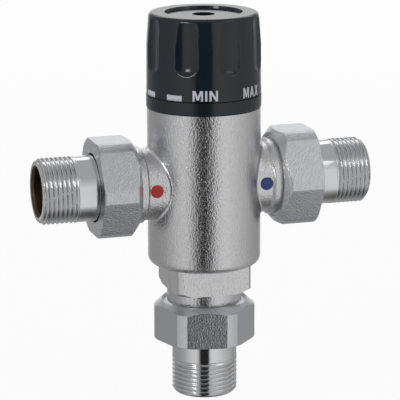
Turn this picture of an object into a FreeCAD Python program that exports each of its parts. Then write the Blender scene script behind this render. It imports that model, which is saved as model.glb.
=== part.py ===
"""Three-port hot and cold water mixing valve with a dial knob and three union tails.

Frame: millimetres, +Z up.  The origin is the centre of the outlet tail's open end.
The hot inlet points along -X, the cold inlet along +X, and the front of the valve is -Y.

Every driving size is a cell of the spreadsheet "Dims".  Sketch points, lengths and radii are
written as expressions of those cells, so a changed cell moves all that depends on it.
"""
import FreeCAD
import Part
import Sketcher
import math
import os
import re
from FreeCAD import Placement, Rotation, Vector

doc = FreeCAD.newDocument("mixing_valve")

# ---------------------------------------------------------------------------
# Driving sizes, in millimetres and degrees
# ---------------------------------------------------------------------------
SIZES = {
    # main heights and reaches
    "tail_length": 30.8,            # each tail with its gasket, from the spigot's face to the open end
    "inlet_height": 87.6,           # axis of both inlets above the outlet tail's end
    "hot_neck": 15.1,               # hot spigot's face beyond the barrel
    "cold_neck": 13.3,              # cold spigot's face beyond the barrel
    "boss_rise": 12.5,              # outlet boss above the outlet spigot's face
    "boss_height": 10.4,
    "barrel_above": 30.2,           # barrel's top face above the inlets' axis
    # cast body
    "body_radius": 22.7,
    "body_bottom_round": 3.9,
    "neck_radius": 14.4,
    "neck_round": 1.7,
    "neck_collar_radius": 15.4,
    "neck_collar_width": 3.0,
    "boss_width": 30.0,
    "boss_depth": 31.4,
    "boss_corner_inset": 1.9,       # boss corners inside the barrel's radius
    "boss_edge_cut": 3.0,
    "boss_edge_rise": 1.8,
    "pad_left_edge": 10.7,          # machined pad on the front flat of the outlet boss
    "pad_depth": 0.35,
    "spigot_radius": 16.62,         # parallel pipe thread, major radius
    "spigot_length": 7.5,
    "spigot_chamfer": 1.0,
    "relief_radius": 15.1,
    "port_bore_radius": 10.0,
    # inside of the body
    "spring_bore_radius": 12.5,
    "ledge_below": 29.8,            # return spring's ledge below the inlets' axis
    "seat_lip_width": 1.5,
    "seat_lip_rise": 2.4,
    "chamber_wall": 5.7,
    "partition_height": 6.4,
    "bonnet_bore_wall": 4.2,
    "port_floor_wall": 2.2,         # blind end of each inlet bore, inside the barrel's radius
    "window_half_width": 6.5,
    # shuttle and its play between the seats
    "shuttle_radius": 13.4,
    "shuttle_height": 16.0,
    "shuttle_stroke": 1.6,
    "shuttle_wall": 1.4,
    "shuttle_spoke_width": 2.4,
    "shuttle_hub_height": 3.0,
    "shuttle_bore_gap": 0.1,
    # small parts' common fits
    "running_gap": 0.05,
    "seat_gap": 0.05,
    # bonnet
    "bonnet_flange_height": 2.4,
    "bonnet_neck_radius": 14.0,
    "bonnet_height": 16.2,
    "bonnet_roof": 4.5,
    "bonnet_skirt_drop": 20.0,      # skirt's lower face below the body's top
    "bonnet_thread_length": 15.0,
    "nose_drop": 3.0,
    # index ring
    "ring_proud": 0.27,             # index ring beyond the barrel
    "ring_wall": 2.3,
    "ring_height": 5.3,
    "ring_lip": 1.0,
    "ring_edge_round": 0.8,
    "index_notch": 1.3,
    # knob
    "knob_gap": 0.3,
    "knob_height": 32.2,
    "knob_foot_proud": 0.15,        # knob's foot beyond the barrel
    "knob_waist_height": 20.0,
    "knob_waist_inset": 0.15,
    "knob_top_inset": 1.05,
    "knob_top_round": 1.6,
    "knob_wall": 2.2,
    "knob_roof": 5.0,
    "knob_dish_radius": 15.4,
    "knob_dish_depth": 1.0,
    "knob_hole_radius": 4.5,
    "knob_hub_radius": 7.0,
    "flute_count": 8,
    "flute_cutter_radius": 11.7,
    "flute_depth": 1.4,
    "flute_low": 13.8,              # start of the flute's rounded foot above the knob's foot
    "flute_foot_round": 5.9,
    "flute_lean": 0.15,             # flute's floor further in at the top
    "flute_top_margin": 1.6,
    "flute_phase": 10.2,
    # adjusting spindle
    "spindle_radius": 5.0,
    "spindle_collar_radius": 7.5,
    "spindle_collar_height": 2.0,
    "spindle_depth": 21.5,          # lower end below the bonnet's top
    "spindle_rise": 10.0,           # upper end above the bonnet's top
    "spindle_head_flats": 7.0,
    "spindle_thread_radius": 4.9,
    "circlip_groove": 0.6,
    "circlip_height": 1.0,
    "circlip_width": 2.0,
    "seal_groove": 1.2,
    "seal_height": 1.9,
    # drive nut (hexagonal cup)
    "drive_flats": 19.6,
    "drive_socket_gap": 0.2,
    "drive_depth": 31.0,            # lower face below the bonnet's top, at the cold stop
    "drive_height": 18.0,
    "drive_thread_length": 7.0,
    "drive_cup_radius": 7.6,
    "drive_clip_groove": 0.7,
    "drive_lift": 3.5556,
    "thread_lead": 4.0,
    # overload spring and its cap
    "cap_height": 2.0,
    "cap_pocket_depth": 0.8,
    "overload_wire": 1.4,
    "overload_turns": 4.0,
    # element
    "piston_radius": 2.0,
    "piston_reach": 13.0,
    "guide_radius": 4.4,
    "guide_top_gap": 1.2,
    "collar_radius": 6.6,
    "collar_height": 1.6,
    "wax_cup_radius": 6.0,
    "wax_cup_length": 15.0,
    # return spring and flow guide
    "return_wire": 1.6,
    "return_radius": 8.2,
    "return_turns": 4.5,
    "guide_wall": 1.2,
    "guide_height": 14.0,
    "guide_floor": 1.4,
    "guide_window_width": 7.0,
    "guide_window_height": 7.0,
    # union kit: nut, tail, gasket
    "nut_flats": 37.8,
    "nut_corner_radius": 20.4,
    "outlet_nut_turn": 43.0,        # first flat of the outlet nut, from +X, before it is turned down
    "nut_length": 16.2,
    "nut_lip": 3.3,
    "nut_hole_radius": 13.8,
    "nut_inner_chamfer": 2.6,
    "nut_outer_chamfer": 0.35,
    "nut_mouth_radius": 17.4,
    "gasket_thickness": 2.0,
    "gasket_radius": 14.8,
    "gasket_hole_radius": 11.2,
    "flange_radius": 14.9,
    "flange_thickness": 3.0,
    "tail_radius": 13.22,           # parallel pipe thread, major radius
    "tail_thread_length": 14.7,
    "tail_relief": 0.12,
    "tail_chamfer": 1.3,
    "tail_bore_radius": 9.0,
    "tail_mouth_radius": 10.4,
    "cartridge_bore_radius": 10.2,
    "pitch_major": 2.309,
    # backflow stop (check) cartridge in each inlet tail
    "cartridge_length": 12.6,
    "cartridge_wall": 1.5,
    "valve_seat_radius": 6.4,
    "valve_seat_height": 1.6,
    "poppet_radius": 7.3,
    "poppet_thickness": 1.5,
    "poppet_travel": 3.0,
    "stem_radius": 1.2,
    "stem_boss_radius": 2.3,
    "arm_width": 1.5,
    "arm_height": 1.6,
    "check_spring_wire": 0.6,
    "check_spring_radius": 3.4,
    "check_spring_turns": 3.0,
    # strainer
    "strainer_rim_height": 1.2,
    "strainer_basket_radius": 8.2,
    "strainer_depth": 6.0,
    "strainer_wall": 0.8,
    "strainer_slots": 6,
    "strainer_slot_width": 2.2,
    # temperature marks
    "mark_radius": 2.6,
    "mark_back": 14.25,             # centre of each dot behind its spigot's face
    "mark_proud": 0.15,
    "mark_depth": 0.5,
    # knob screw
    "screw_radius": 2.0,
    "screw_head_radius": 3.6,
    "screw_head_height": 2.4,
    "screw_length": 9.0,
    "screw_cross_width": 1.0,
    "screw_cross_depth": 1.2,
}

# Places that follow from the driving sizes, each written once.
PLACES = {
    "outlet_face": "tail_length",
    "hot_face": "body_radius + hot_neck",
    "cold_face": "body_radius + cold_neck",
    "boss_corner_radius": "body_radius - boss_corner_inset",
    "chamber_radius": "body_radius - chamber_wall",
    "bonnet_bore_radius": "body_radius - bonnet_bore_wall",
    "port_floor": "body_radius - port_floor_wall",
    "ring_radius": "body_radius + ring_proud",
    "bonnet_flange_radius": "ring_radius - ring_wall",
    "knob_foot_radius": "body_radius + knob_foot_proud",
    "knob_waist_radius": "knob_foot_radius - knob_waist_inset",
    "knob_top_radius": "knob_foot_radius - knob_top_inset",
    "relief_start": "outlet_face + spigot_length",
    "boss_bottom": "outlet_face + boss_rise",
    "body_bottom": "boss_bottom + boss_height",
    "body_top": "inlet_height + barrel_above",
    "spring_ledge": "inlet_height - ledge_below",
    "bonnet_top": "body_top + bonnet_height",
    "spindle_low": "bonnet_top - spindle_depth",
    "spindle_top": "bonnet_top + spindle_rise",
    "drive_low": "bonnet_top - drive_depth",
    "partition_low": "inlet_height - partition_height / 2",
    "partition_top": "inlet_height + partition_height / 2",
    "bonnet_skirt": "body_top - bonnet_skirt_drop",
    "cold_seat": "bonnet_skirt - nose_drop",
    "shuttle_low": "cold_seat - shuttle_height",
    "hot_seat": "shuttle_low - shuttle_stroke",
    "hub_top": "shuttle_low + shuttle_height / 2",
    "hub_low": "hub_top - shuttle_hub_height",
    "lip_radius": "spring_bore_radius + seat_lip_width",
    "flange_top": "body_top + ring_lip + bonnet_flange_height",
    "ring_top": "body_top + ring_height",
    "knob_foot": "ring_top + knob_gap",
    "knob_top": "knob_foot + knob_height",
    "knob_ceiling": "knob_top - knob_roof",
    "roof_low": "bonnet_top - bonnet_roof",
    "spindle_collar_top": "roof_low - seat_gap",
    "drive_top": "drive_low + drive_height",
    "drive_cup_top": "drive_top - drive_thread_length",
    "cap_low": "drive_low + circlip_height + drive_clip_groove",
    "cap_top": "cap_low + cap_height",
    "piston_top": "cap_low + cap_pocket_depth",
    "piston_low": "piston_top - piston_reach",
    "guide_top": "cap_low - guide_top_gap",
    "element_collar_low": "hub_top",
    "wax_cup_top": "hub_low",
    "tail_start": "gasket_thickness + flange_thickness",
    "nut_outer": "tail_start + nut_lip",
    "nut_inner": "nut_outer - nut_length",
    "cartridge_end": "gasket_thickness + cartridge_length",
    "strainer_end": "cartridge_end + strainer_rim_height",
    "seat_low": "cartridge_end - valve_seat_height",
}

sheet = doc.addObject("Spreadsheet::Sheet", "Dims")
for row, (alias, size) in enumerate(SIZES.items(), start=1):
    sheet.set("A%d" % row, alias)
    sheet.set("B%d" % row, str(size))
    sheet.setAlias("B%d" % row, alias)
doc.recompute()

WORD = re.compile(r"[a-z][a-z_]*[a-z]")


def bound(text):
    """Expression text in which each size name points at its cell and each place is spelled out."""
    def swap(match):
        word = match.group()
        if word in PLACES:
            return "(" + bound(PLACES[word]) + ")"
        return "Dims." + word if word in SIZES else word
    return WORD.sub(swap, str(text))


def value(text):
    """Number that an expression of the sizes has now."""
    return float(sheet.evalExpression(bound(text)))


# ---------------------------------------------------------------------------
# Sketches and features
# ---------------------------------------------------------------------------
UP, ALONG_X = "XZ_Plane", "YZ_Plane"
FLAT = "XY_Plane"


def new_body(label):
    """Empty PartDesign body whose label names its file."""
    body = doc.addObject("PartDesign::Body", label)
    body.Label = label
    return body


def new_sketch(body, plane, name, offset=None):
    """Sketch on one of the body's own origin planes, moved along its normal by an expression."""
    sketch = body.newObject("Sketcher::SketchObject", body.Name + "_" + name)
    base = next(f for f in body.Origin.OriginFeatures if f.Role == plane)
    sketch.AttachmentSupport = [(base, "")]
    sketch.MapMode = "FlatFace"
    if offset is not None:
        sketch.setExpression("AttachmentOffset.Base.z", bound(offset))
    return sketch


def pin_point(sketch, line, end, x, y):
    """Tie one end of a sketch line to two expressions, measured from the sketch's origin."""
    for kind, text in (("DistanceX", x), ("DistanceY", y)):
        if text is None:
            continue
        index = sketch.addConstraint(Sketcher.Constraint(kind, line, end, value(text)))
        sketch.setExpression("Constraints[%d]" % index, bound(text))


def outline(sketch, points):
    """Closed outline through (x, y) expression pairs.

    A third term (x, y) makes the edge that leaves that point an arc about that centre.
    """
    spots = [Vector(value(p[0]), value(p[1]), 0) for p in points]
    edges = []
    for k, point in enumerate(points):
        start, stop = spots[k], spots[(k + 1) % len(spots)]
        if len(point) == 2:
            edges.append((sketch.addGeometry(Part.LineSegment(start, stop), False), 1, 2))
            continue
        centre = Vector(value(point[2][0]), value(point[2][1]), 0)
        angles = [math.atan2(spot.y - centre.y, spot.x - centre.x) for spot in (start, stop)]
        forward = (angles[1] - angles[0]) % (2 * math.pi) < math.pi
        low, high = angles if forward else angles[::-1]
        ring = Part.Circle(centre, Vector(0, 0, 1), (start - centre).Length)
        arc = sketch.addGeometry(Part.ArcOfCircle(ring, low, high), False)
        edges.append((arc, 1, 2) if forward else (arc, 2, 1))
    for k, (edge, first, last) in enumerate(edges):
        after, after_first, _after_last = edges[(k + 1) % len(edges)]
        sketch.addConstraint(Sketcher.Constraint("Coincident", edge, last, after, after_first))
        pin_point(sketch, edge, first, *points[k][:2])
        if len(points[k]) == 3:
            pin_point(sketch, edge, 3, points[k][2][0], None)


def circle(sketch, radius, x="0", y="0"):
    """Circle with its radius and centre tied to expressions."""
    centre = Vector(value(x), value(y), 0)
    index = sketch.addGeometry(Part.Circle(centre, Vector(0, 0, 1), value(radius)), False)
    at = sketch.addConstraint(Sketcher.Constraint("Radius", index, value(radius)))
    sketch.setExpression("Constraints[%d]" % at, bound(radius))
    pin_point(sketch, index, 3, x, y)


def polygon(sketch, sides, flats, turn="0"):
    """Regular polygon of a given width across flats; turn is the direction of its first flat."""
    points = []
    for k in range(sides):
        angle = "(%s) * 1 deg + %s deg" % (turn, 360.0 * (k + 0.5) / sides)
        reach = "(%s) / 2 / cos(%s deg)" % (flats, 180.0 / sides)
        points.append(("%s * cos(%s)" % (reach, angle), "%s * sin(%s)" % (reach, angle)))
    outline(sketch, points)


def turned(body, name, points, plane=UP, axis=None, cut=False):
    """Full turn of an outline about the sketch's upright axis, or about a drawn axis line."""
    sketch = new_sketch(body, plane, name)
    outline(sketch, points)
    reference = "V_Axis"
    if axis is not None:
        start, stop = axis
        line = sketch.addGeometry(Part.LineSegment(
            Vector(value(start[0]), value(start[1]), 0), Vector(value(stop[0]), value(stop[1]), 0)), True)
        pin_point(sketch, line, 1, *start)
        pin_point(sketch, line, 2, *stop)
        reference = "Axis0"
    kind = "PartDesign::Groove" if cut else "PartDesign::Revolution"
    feature = body.newObject(kind, body.Name + "_" + name + "_turned")
    feature.Profile = sketch
    feature.ReferenceAxis = (sketch, [reference])
    feature.Angle = 360.0
    doc.recompute()
    return feature


def raised(body, name, draw, low, height, plane=FLAT, cut=False):
    """Pad or pocket of a sketch drawn by draw(sketch), from low, over height along the normal."""
    sketch = new_sketch(body, plane, name, low)
    draw(sketch)
    kind = "PartDesign::Pocket" if cut else "PartDesign::Pad"
    feature = body.newObject(kind, body.Name + "_" + name + ("_cut" if cut else "_pad"))
    feature.Profile = sketch
    feature.setExpression("Length", bound(height))
    feature.Reversed = cut
    doc.recompute()
    return feature


def around(body, feature, count):
    """Copies of a feature, evenly spaced about the body's upright axis."""
    pattern = body.newObject("PartDesign::PolarPattern", feature.Name + "_pattern")
    pattern.Originals = [feature]
    axis = next(f for f in body.Origin.OriginFeatures if f.Role == "Z_Axis")
    pattern.Axis = (axis, [""])
    pattern.Angle = 360.0
    if str(count) in SIZES:
        pattern.setExpression("Occurrences", bound(count))
    else:
        pattern.Occurrences = count
    body.Tip = pattern
    doc.recompute()
    return pattern


def rounded(body, name, radius, choose):
    """Fillet on the edges of the body's tip for which choose(edge) is true."""
    base = body.Tip
    edges = ["Edge%d" % (k + 1) for k, edge in enumerate(base.Shape.Edges) if choose(edge)]
    feature = body.newObject("PartDesign::Fillet", body.Name + "_" + name)
    feature.Base = (base, edges)
    feature.setExpression("Radius", bound(radius))
    doc.recompute()
    return feature


def flat_ring_at(height, radius, slack=0.01):
    """Test for a level circular edge at one height and radius."""
    def test(edge):
        if not isinstance(edge.Curve, Part.Circle):
            return False
        level = abs(edge.Curve.Center.z - value(height)) < slack and abs(edge.Curve.Axis.z) > 0.99
        return level and abs(edge.Curve.Radius - value(radius)) < slack
    return test


def rectangle(x_low, x_high, y_low, y_high):
    """Function that draws one rectangle between expressions."""
    def draw(sketch):
        outline(sketch, [(x_low, y_low), (x_high, y_low), (x_high, y_high), (x_low, y_high)])
    return draw


def disc(radius, x="0", y="0"):
    """Function that draws one circle."""
    def draw(sketch):
        circle(sketch, radius, x, y)
    return draw


def seal_ring(label, centre_radius, section_radius, height):
    """Rubber ring of round section, lying level at one height."""
    ring = doc.addObject("Part::Torus", label)
    ring.Label = label
    ring.setExpression("Radius1", bound(centre_radius))
    ring.setExpression("Radius2", bound(section_radius))
    ring.setExpression("Placement.Base.z", bound(height))
    return ring


def coil(label, mean_radius, wire, low, high, turns):
    """Compression spring of square wire between two heights, as a swept section on a helix."""
    wire_now = value(wire)
    rise = value(high) - value(low) - wire_now
    pitch = rise / value(turns)
    radius = value(mean_radius)
    path = Part.Wire(Part.makeLongHelix(pitch, rise, radius, 0).Edges)
    half = wire_now / 2.0
    corners = [(radius - half, -half), (radius + half, -half), (radius + half, half), (radius - half, half)]
    section = Part.makePolygon([Vector(x, 0, z) for x, z in corners + corners[:1]])
    spring = doc.addObject("Part::Feature", label)
    spring.Label = label
    spring.Shape = path.makePipeShell([section], True, True)
    spring.Placement = Placement(Vector(0, 0, value(low) + half), Rotation())
    return spring


# ---------------------------------------------------------------------------
# Cast body
# ---------------------------------------------------------------------------
def side_points(side, points):
    """Outline on one side of the valve: distances along the port axis take the side's sign."""
    return [("%d * (%s)" % (side, x), y) for x, y in points]


def make_valve_body():
    """Cast brass body: barrel, outlet boss and three threaded spigots, bored for the cartridge."""
    body = new_body("valve_body")
    raised(body, "boss", rectangle("-boss_width / 2", "boss_width / 2", "-boss_depth / 2", "boss_depth / 2"),
           "boss_bottom", "body_bottom + body_bottom_round - boss_bottom")
    turned(body, "boss_corners", [
        ("boss_corner_radius - boss_edge_cut", "boss_bottom - 1"),
        ("boss_corner_radius - boss_edge_cut", "boss_bottom"),
        ("boss_corner_radius", "boss_bottom + boss_edge_rise"),
        ("boss_corner_radius", "body_bottom + body_bottom_round + 1"),
        ("boss_corner_radius * 1.5", "body_bottom + body_bottom_round + 1"),
        ("boss_corner_radius * 1.5", "boss_bottom - 1"),
    ], cut=True)
    pad_face = "boss_depth / 2 - pad_depth"
    raised(body, "machined_pad", rectangle("-pad_left_edge", "boss_width", "boss_bottom - 1",
                                           "body_bottom + body_bottom_round"),
           pad_face, "boss_depth", plane=UP, cut=True)
    turned(body, "barrel", [
        ("0", "outlet_face"),
        ("spigot_radius - spigot_chamfer", "outlet_face"),
        ("spigot_radius", "outlet_face + spigot_chamfer"),
        ("spigot_radius", "relief_start - spigot_chamfer / 2"),
        ("relief_radius", "relief_start"),
        ("relief_radius", "body_bottom"),
        ("body_radius - body_bottom_round", "body_bottom",
         ("body_radius - body_bottom_round", "body_bottom + body_bottom_round")),
        ("body_radius", "body_bottom + body_bottom_round"),
        ("body_radius", "body_top"),
        ("0", "body_top"),
    ])
    for side, name in ((-1, "hot"), (1, "cold")):
        face, rim = name + "_face", "inlet_height + spigot_radius"
        axis = (("0", "inlet_height"), ("%d * %s" % (side, face), "inlet_height"))
        relief, collar = "inlet_height + relief_radius", "inlet_height + neck_collar_radius"
        collar_end = face + " - spigot_length"
        collar_start = collar_end + " - neck_collar_width"
        turned(body, name + "_spigot", side_points(side, [
            ("body_radius / 2", "inlet_height"),
            (face, "inlet_height"),
            (face, rim + " - spigot_chamfer"),
            (face + " - spigot_chamfer", rim),
            (face + " - spigot_length + spigot_chamfer / 2", rim),
            (collar_end, relief),
            (collar_end, collar),
            (collar_start, collar),
            (collar_start + " - (neck_collar_radius - neck_radius)", "inlet_height + neck_radius"),
            ("body_radius / 2", "inlet_height + neck_radius"),
        ]), axis=axis)
    rounded(body, "neck_round", "neck_round", neck_root)
    hollow = turned(body, "bore", [
        ("0", "outlet_face - 1"),
        ("port_bore_radius", "outlet_face - 1"),
        ("port_bore_radius", "spring_ledge"),
        ("spring_bore_radius", "spring_ledge"),
        ("spring_bore_radius", "hot_seat"),
        ("lip_radius", "hot_seat"),
        ("lip_radius", "hot_seat - seat_lip_rise"),
        ("chamber_radius", "hot_seat - seat_lip_rise"),
        ("chamber_radius", "partition_low"),
        ("shuttle_radius + shuttle_bore_gap", "partition_low"),
        ("shuttle_radius + shuttle_bore_gap", "partition_top"),
        ("chamber_radius", "partition_top"),
        ("chamber_radius", "body_top - bonnet_thread_length - 1.5"),
        ("bonnet_bore_radius", "body_top - bonnet_thread_length"),
        ("bonnet_bore_radius", "body_top + 1"),
        ("0", "body_top + 1"),
    ], cut=True)
    for side, name in ((-1, "hot"), (1, "cold")):
        face = name + "_face"
        axis = (("0", "inlet_height"), ("%d * %s" % (side, face), "inlet_height"))
        turned(body, name + "_port", side_points(side, [
            ("port_floor", "inlet_height"),
            (face + " + 1", "inlet_height"),
            (face + " + 1", "inlet_height + port_bore_radius"),
            ("port_floor", "inlet_height + port_bore_radius"),
        ]), axis=axis, cut=True)
    windows = (("hot", -1, "hot_seat + 0.6", "partition_low"),
               ("cold", 1, "partition_top", "inlet_height + port_bore_radius * 0.93"))
    for name, side, low, high in windows:
        reach = "port_floor + 1 - shuttle_radius"
        cut = raised(body, name + "_window", rectangle("-window_half_width", "window_half_width", low, high),
                     "%d * (port_floor + 1)" % side, reach, plane=ALONG_X, cut=True)
        cut.Reversed = side < 0
    for side, name in ((-1, "hot"), (1, "cold")):
        reach = "%d * (%s_face - mark_back)" % (side, name)
        raised(body, name + "_mark_seat", disc("mark_radius", reach, "inlet_height"),
               "neck_radius - mark_depth", "body_radius", plane=UP, cut=True)
    return body


def neck_root(edge):
    """True for the curved edges in which a side neck leaves the barrel."""
    box = edge.BoundBox
    neck, barrel = value("neck_radius"), value("body_radius")
    tall = abs(box.ZLength - 2 * neck) < 0.05
    inner = math.sqrt(barrel ** 2 - neck ** 2)
    reach = max(abs(box.XMin), abs(box.XMax))
    return tall and abs(reach - barrel) < 0.05 and min(abs(box.XMin), abs(box.XMax)) > inner - 0.05


def make_mark(name, side):
    """Round enamel dot let into the front of one side neck, following its curve."""
    reach = "(%s_face - mark_back)" % name
    rod = doc.addObject("Part::Cylinder", name + "_mark_rod")
    rod.setExpression("Radius", bound("mark_radius"))
    rod.setExpression("Height", bound("body_radius"))
    rod.Placement = Placement(Vector(0, 0, 0), Rotation(Vector(1, 0, 0), 90))
    rod.setExpression("Placement.Base.x", bound("%d * %s" % (side, reach)))
    rod.setExpression("Placement.Base.y", bound("-(neck_radius - mark_depth)"))
    rod.setExpression("Placement.Base.z", bound("inlet_height"))
    skin = doc.addObject("Part::Cylinder", name + "_mark_skin")
    skin.setExpression("Radius", bound("neck_radius + mark_proud"))
    skin.setExpression("Height", bound("2 * %s + 2 * mark_radius" % reach))
    skin.Placement = Placement(Vector(0, 0, 0), Rotation(Vector(0, 1, 0), 90))
    skin.setExpression("Placement.Base.x", bound("-%s - mark_radius" % reach))
    skin.setExpression("Placement.Base.z", bound("inlet_height"))
    mark = doc.addObject("Part::Common", name + "_mark")
    mark.Base = rod
    mark.Tool = skin
    mark.Label = name + "_mark"
    return mark


# ---------------------------------------------------------------------------
# Bonnet, index ring and knob
# ---------------------------------------------------------------------------
def make_bonnet():
    """Turned bonnet: cold seat below, hexagonal socket for the drive nut, roof for the spindle."""
    body = new_body("bonnet")
    seal_low = "body_top - bonnet_thread_length - 3.9"
    skirt = "chamber_radius - seat_gap"
    groove = "chamber_radius - seal_groove"
    turned(body, "shell", [
        ("0", "cold_seat"),
        ("lip_radius", "cold_seat"),
        ("lip_radius", "bonnet_skirt"),
        (skirt, "bonnet_skirt"),
        (skirt, seal_low),
        (groove, seal_low),
        (groove, seal_low + " + seal_height"),
        (skirt, seal_low + " + seal_height"),
        (skirt, "body_top - bonnet_thread_length - 1.5"),
        ("bonnet_bore_radius - seat_gap", "body_top - bonnet_thread_length + 0.1"),
        ("bonnet_bore_radius - seat_gap", "body_top + ring_lip"),
        ("bonnet_flange_radius", "body_top + ring_lip"),
        ("bonnet_flange_radius", "flange_top"),
        ("bonnet_neck_radius", "flange_top"),
        ("bonnet_neck_radius", "bonnet_top - 1"),
        ("bonnet_neck_radius - 1", "bonnet_top"),
        ("0", "bonnet_top"),
    ])
    turned(body, "mouth", [
        ("0", "cold_seat - 1"),
        ("spring_bore_radius", "cold_seat - 1"),
        ("spring_bore_radius", "cold_seat + 4"),
        ("drive_flats / 2", "cold_seat + 6.5"),
        ("0", "cold_seat + 6.5"),
    ], cut=True)
    raised(body, "socket", lambda sketch: polygon(sketch, 6, "drive_flats + 2 * drive_socket_gap"),
           "cold_seat", "roof_low - cold_seat", cut=True)
    raised(body, "spindle_hole", disc("spindle_radius + running_gap"), "roof_low - 1", "bonnet_roof + 2", cut=True)
    return body


def make_index_ring():
    """Moulded ring that carries the index notch; its inner lip is held under the bonnet's flange."""
    body = new_body("index_ring")
    turned(body, "ring", [
        ("bonnet_bore_radius + 0.3", "body_top"),
        ("ring_radius", "body_top"),
        ("ring_radius", "ring_top"),
        ("bonnet_flange_radius + seat_gap", "ring_top"),
        ("bonnet_flange_radius + seat_gap", "body_top + ring_lip"),
        ("bonnet_bore_radius + 0.3", "body_top + ring_lip"),
    ])
    rounded(body, "foot_round", "ring_edge_round", flat_ring_at("body_top", "ring_radius"))
    raised(body, "notch", lambda sketch: outline(sketch, [
        ("-index_notch", "body_top - 0.2"), ("index_notch", "body_top - 0.2"), ("0", "body_top + 1.4 * index_notch")]),
        "ring_radius - 0.6", "2", plane=UP, cut=True)
    return body


def make_knob():
    """Moulded hand knob: fluted shell with a dished top and a hub on the spindle's flats."""
    body = new_body("temperature_knob")
    turned(body, "shell", [
        ("0", "knob_foot"),
        ("knob_foot_radius", "knob_foot"),
        ("knob_waist_radius", "knob_foot + knob_waist_height"),
        ("knob_top_radius", "knob_top"),
        ("knob_dish_radius", "knob_top"),
        ("knob_dish_radius - 0.3", "knob_top - knob_dish_depth"),
        ("0", "knob_top - knob_dish_depth"),
    ])
    rounded(body, "top_round", "knob_top_round", flat_ring_at("knob_top", "knob_top_radius"))
    cutter = "knob_waist_radius - flute_depth + flute_cutter_radius"
    ball = "knob_foot + flute_low"
    top = "knob_top - flute_top_margin"
    floor = cutter + " - flute_cutter_radius"
    turn = floor + " + flute_foot_round"
    flute = turned(body, "flute", [
        (floor + " - flute_lean", top),
        (floor, ball, (turn, ball)),
        (turn, ball + " - flute_foot_round"),
        (cutter, ball + " - flute_foot_round"),
        (cutter, top),
    ], axis=((cutter, ball), (cutter, top)), cut=True)
    around(body, flute, "flute_count")
    turned(body, "hollow", [
        ("spindle_collar_radius", "knob_foot - 1"),
        ("knob_foot_radius - knob_wall - flute_depth", "knob_foot - 1"),
        ("knob_foot_radius - knob_wall - flute_depth", "knob_foot + knob_waist_height - 2"),
        ("knob_top_radius - knob_wall - flute_depth", "knob_ceiling"),
        ("knob_hub_radius", "knob_ceiling"),
        ("knob_hub_radius", "bonnet_top + 2.5"),
        ("spindle_collar_radius", "bonnet_top + 2.5"),
    ], cut=True)
    turned(body, "hub_end", [
        ("0", "knob_foot - 1"),
        ("spindle_collar_radius", "knob_foot - 1"),
        ("spindle_collar_radius", "bonnet_top + 2.5"),
        ("0", "bonnet_top + 2.5"),
    ], cut=True)
    raised(body, "flats", lambda sketch: polygon(sketch, 6, "spindle_head_flats"),
           "bonnet_top", "spindle_top - bonnet_top", cut=True)
    raised(body, "screw_hole", disc("screw_radius + 0.2"), "spindle_top - 1", "knob_top - spindle_top", cut=True)
    raised(body, "screw_well", disc("knob_hole_radius"), "spindle_top + 1.5", "knob_height", cut=True)
    body.setExpression("Placement.Rotation.Angle", bound("flute_phase"))
    return body


def make_spindle():
    """Adjusting spindle: hexagonal head for the knob, seal groove, collar and drive thread."""
    body = new_body("adjusting_spindle")
    clip_low = "bonnet_top + seat_gap"
    seal_low = "roof_low + 1.2"
    turned(body, "stem", [
        ("0", "spindle_low"),
        ("spindle_thread_radius - 0.6", "spindle_low"),
        ("spindle_thread_radius", "spindle_low + 0.6"),
        ("spindle_thread_radius", "spindle_collar_top - spindle_collar_height"),
        ("spindle_collar_radius", "spindle_collar_top - spindle_collar_height"),
        ("spindle_collar_radius", "spindle_collar_top"),
        ("spindle_radius", "spindle_collar_top"),
        ("spindle_radius", seal_low),
        ("spindle_radius - seal_groove", seal_low),
        ("spindle_radius - seal_groove", seal_low + " + seal_height"),
        ("spindle_radius", seal_low + " + seal_height"),
        ("spindle_radius", clip_low),
        ("spindle_radius - circlip_groove", clip_low),
        ("spindle_radius - circlip_groove", clip_low + " + circlip_height"),
        ("spindle_radius", clip_low + " + circlip_height"),
        ("spindle_radius", clip_low + " + circlip_height + 0.6"),
        ("spindle_head_flats / 2 - 0.6", clip_low + " + circlip_height + 0.6"),
        ("0", clip_low + " + circlip_height + 0.6"),
    ])
    raised(body, "head", lambda sketch: polygon(sketch, 6, "spindle_head_flats - 2 * seat_gap"),
           clip_low + " + circlip_height", "spindle_top - seat_gap - (%s) - circlip_height" % clip_low)
    raised(body, "screw_thread", disc("screw_radius"), "spindle_top - screw_length + 1", "screw_length", cut=True)
    body.setExpression("Placement.Rotation.Angle", bound("flute_phase"))
    return body


def make_circlip(label, inner, outer, low, height, opening):
    """Open retaining ring that lies level; opening is the width of its gap."""
    body = new_body(label)

    def draw(sketch):
        circle(sketch, outer)
        circle(sketch, inner)
    raised(body, "ring", draw, low, height)
    raised(body, "gap", rectangle("0", outer + " + 1", "-(%s) / 2" % opening, "(%s) / 2" % opening),
           low + " - 1", height + " + 2", cut=True)
    return body


def make_knob_screw():
    """Pan-head cross-slotted screw that holds the knob on the spindle."""
    body = new_body("knob_screw")
    seat = "spindle_top + 1.5"
    turned(body, "shank", [
        ("0", seat + " - screw_length + 2.4"),
        ("screw_radius - 0.4", seat + " - screw_length + 2.4"),
        ("screw_radius", seat + " - screw_length + 2.8"),
        ("screw_radius", seat),
        ("screw_head_radius", seat),
        ("screw_head_radius", seat + " + screw_head_height * 0.6"),
        ("screw_head_radius * 0.72", seat + " + screw_head_height"),
        ("0", seat + " + screw_head_height"),
    ])
    head = seat + " + screw_head_height - screw_cross_depth"
    long_side, short_side = "screw_head_radius * 0.62", "screw_cross_width / 2"
    for name, wide, deep in (("slot_x", long_side, short_side), ("slot_y", short_side, long_side)):
        raised(body, name, rectangle("-(%s)" % wide, wide, "-(%s)" % deep, deep), head, "screw_head_height", cut=True)
    return body


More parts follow.
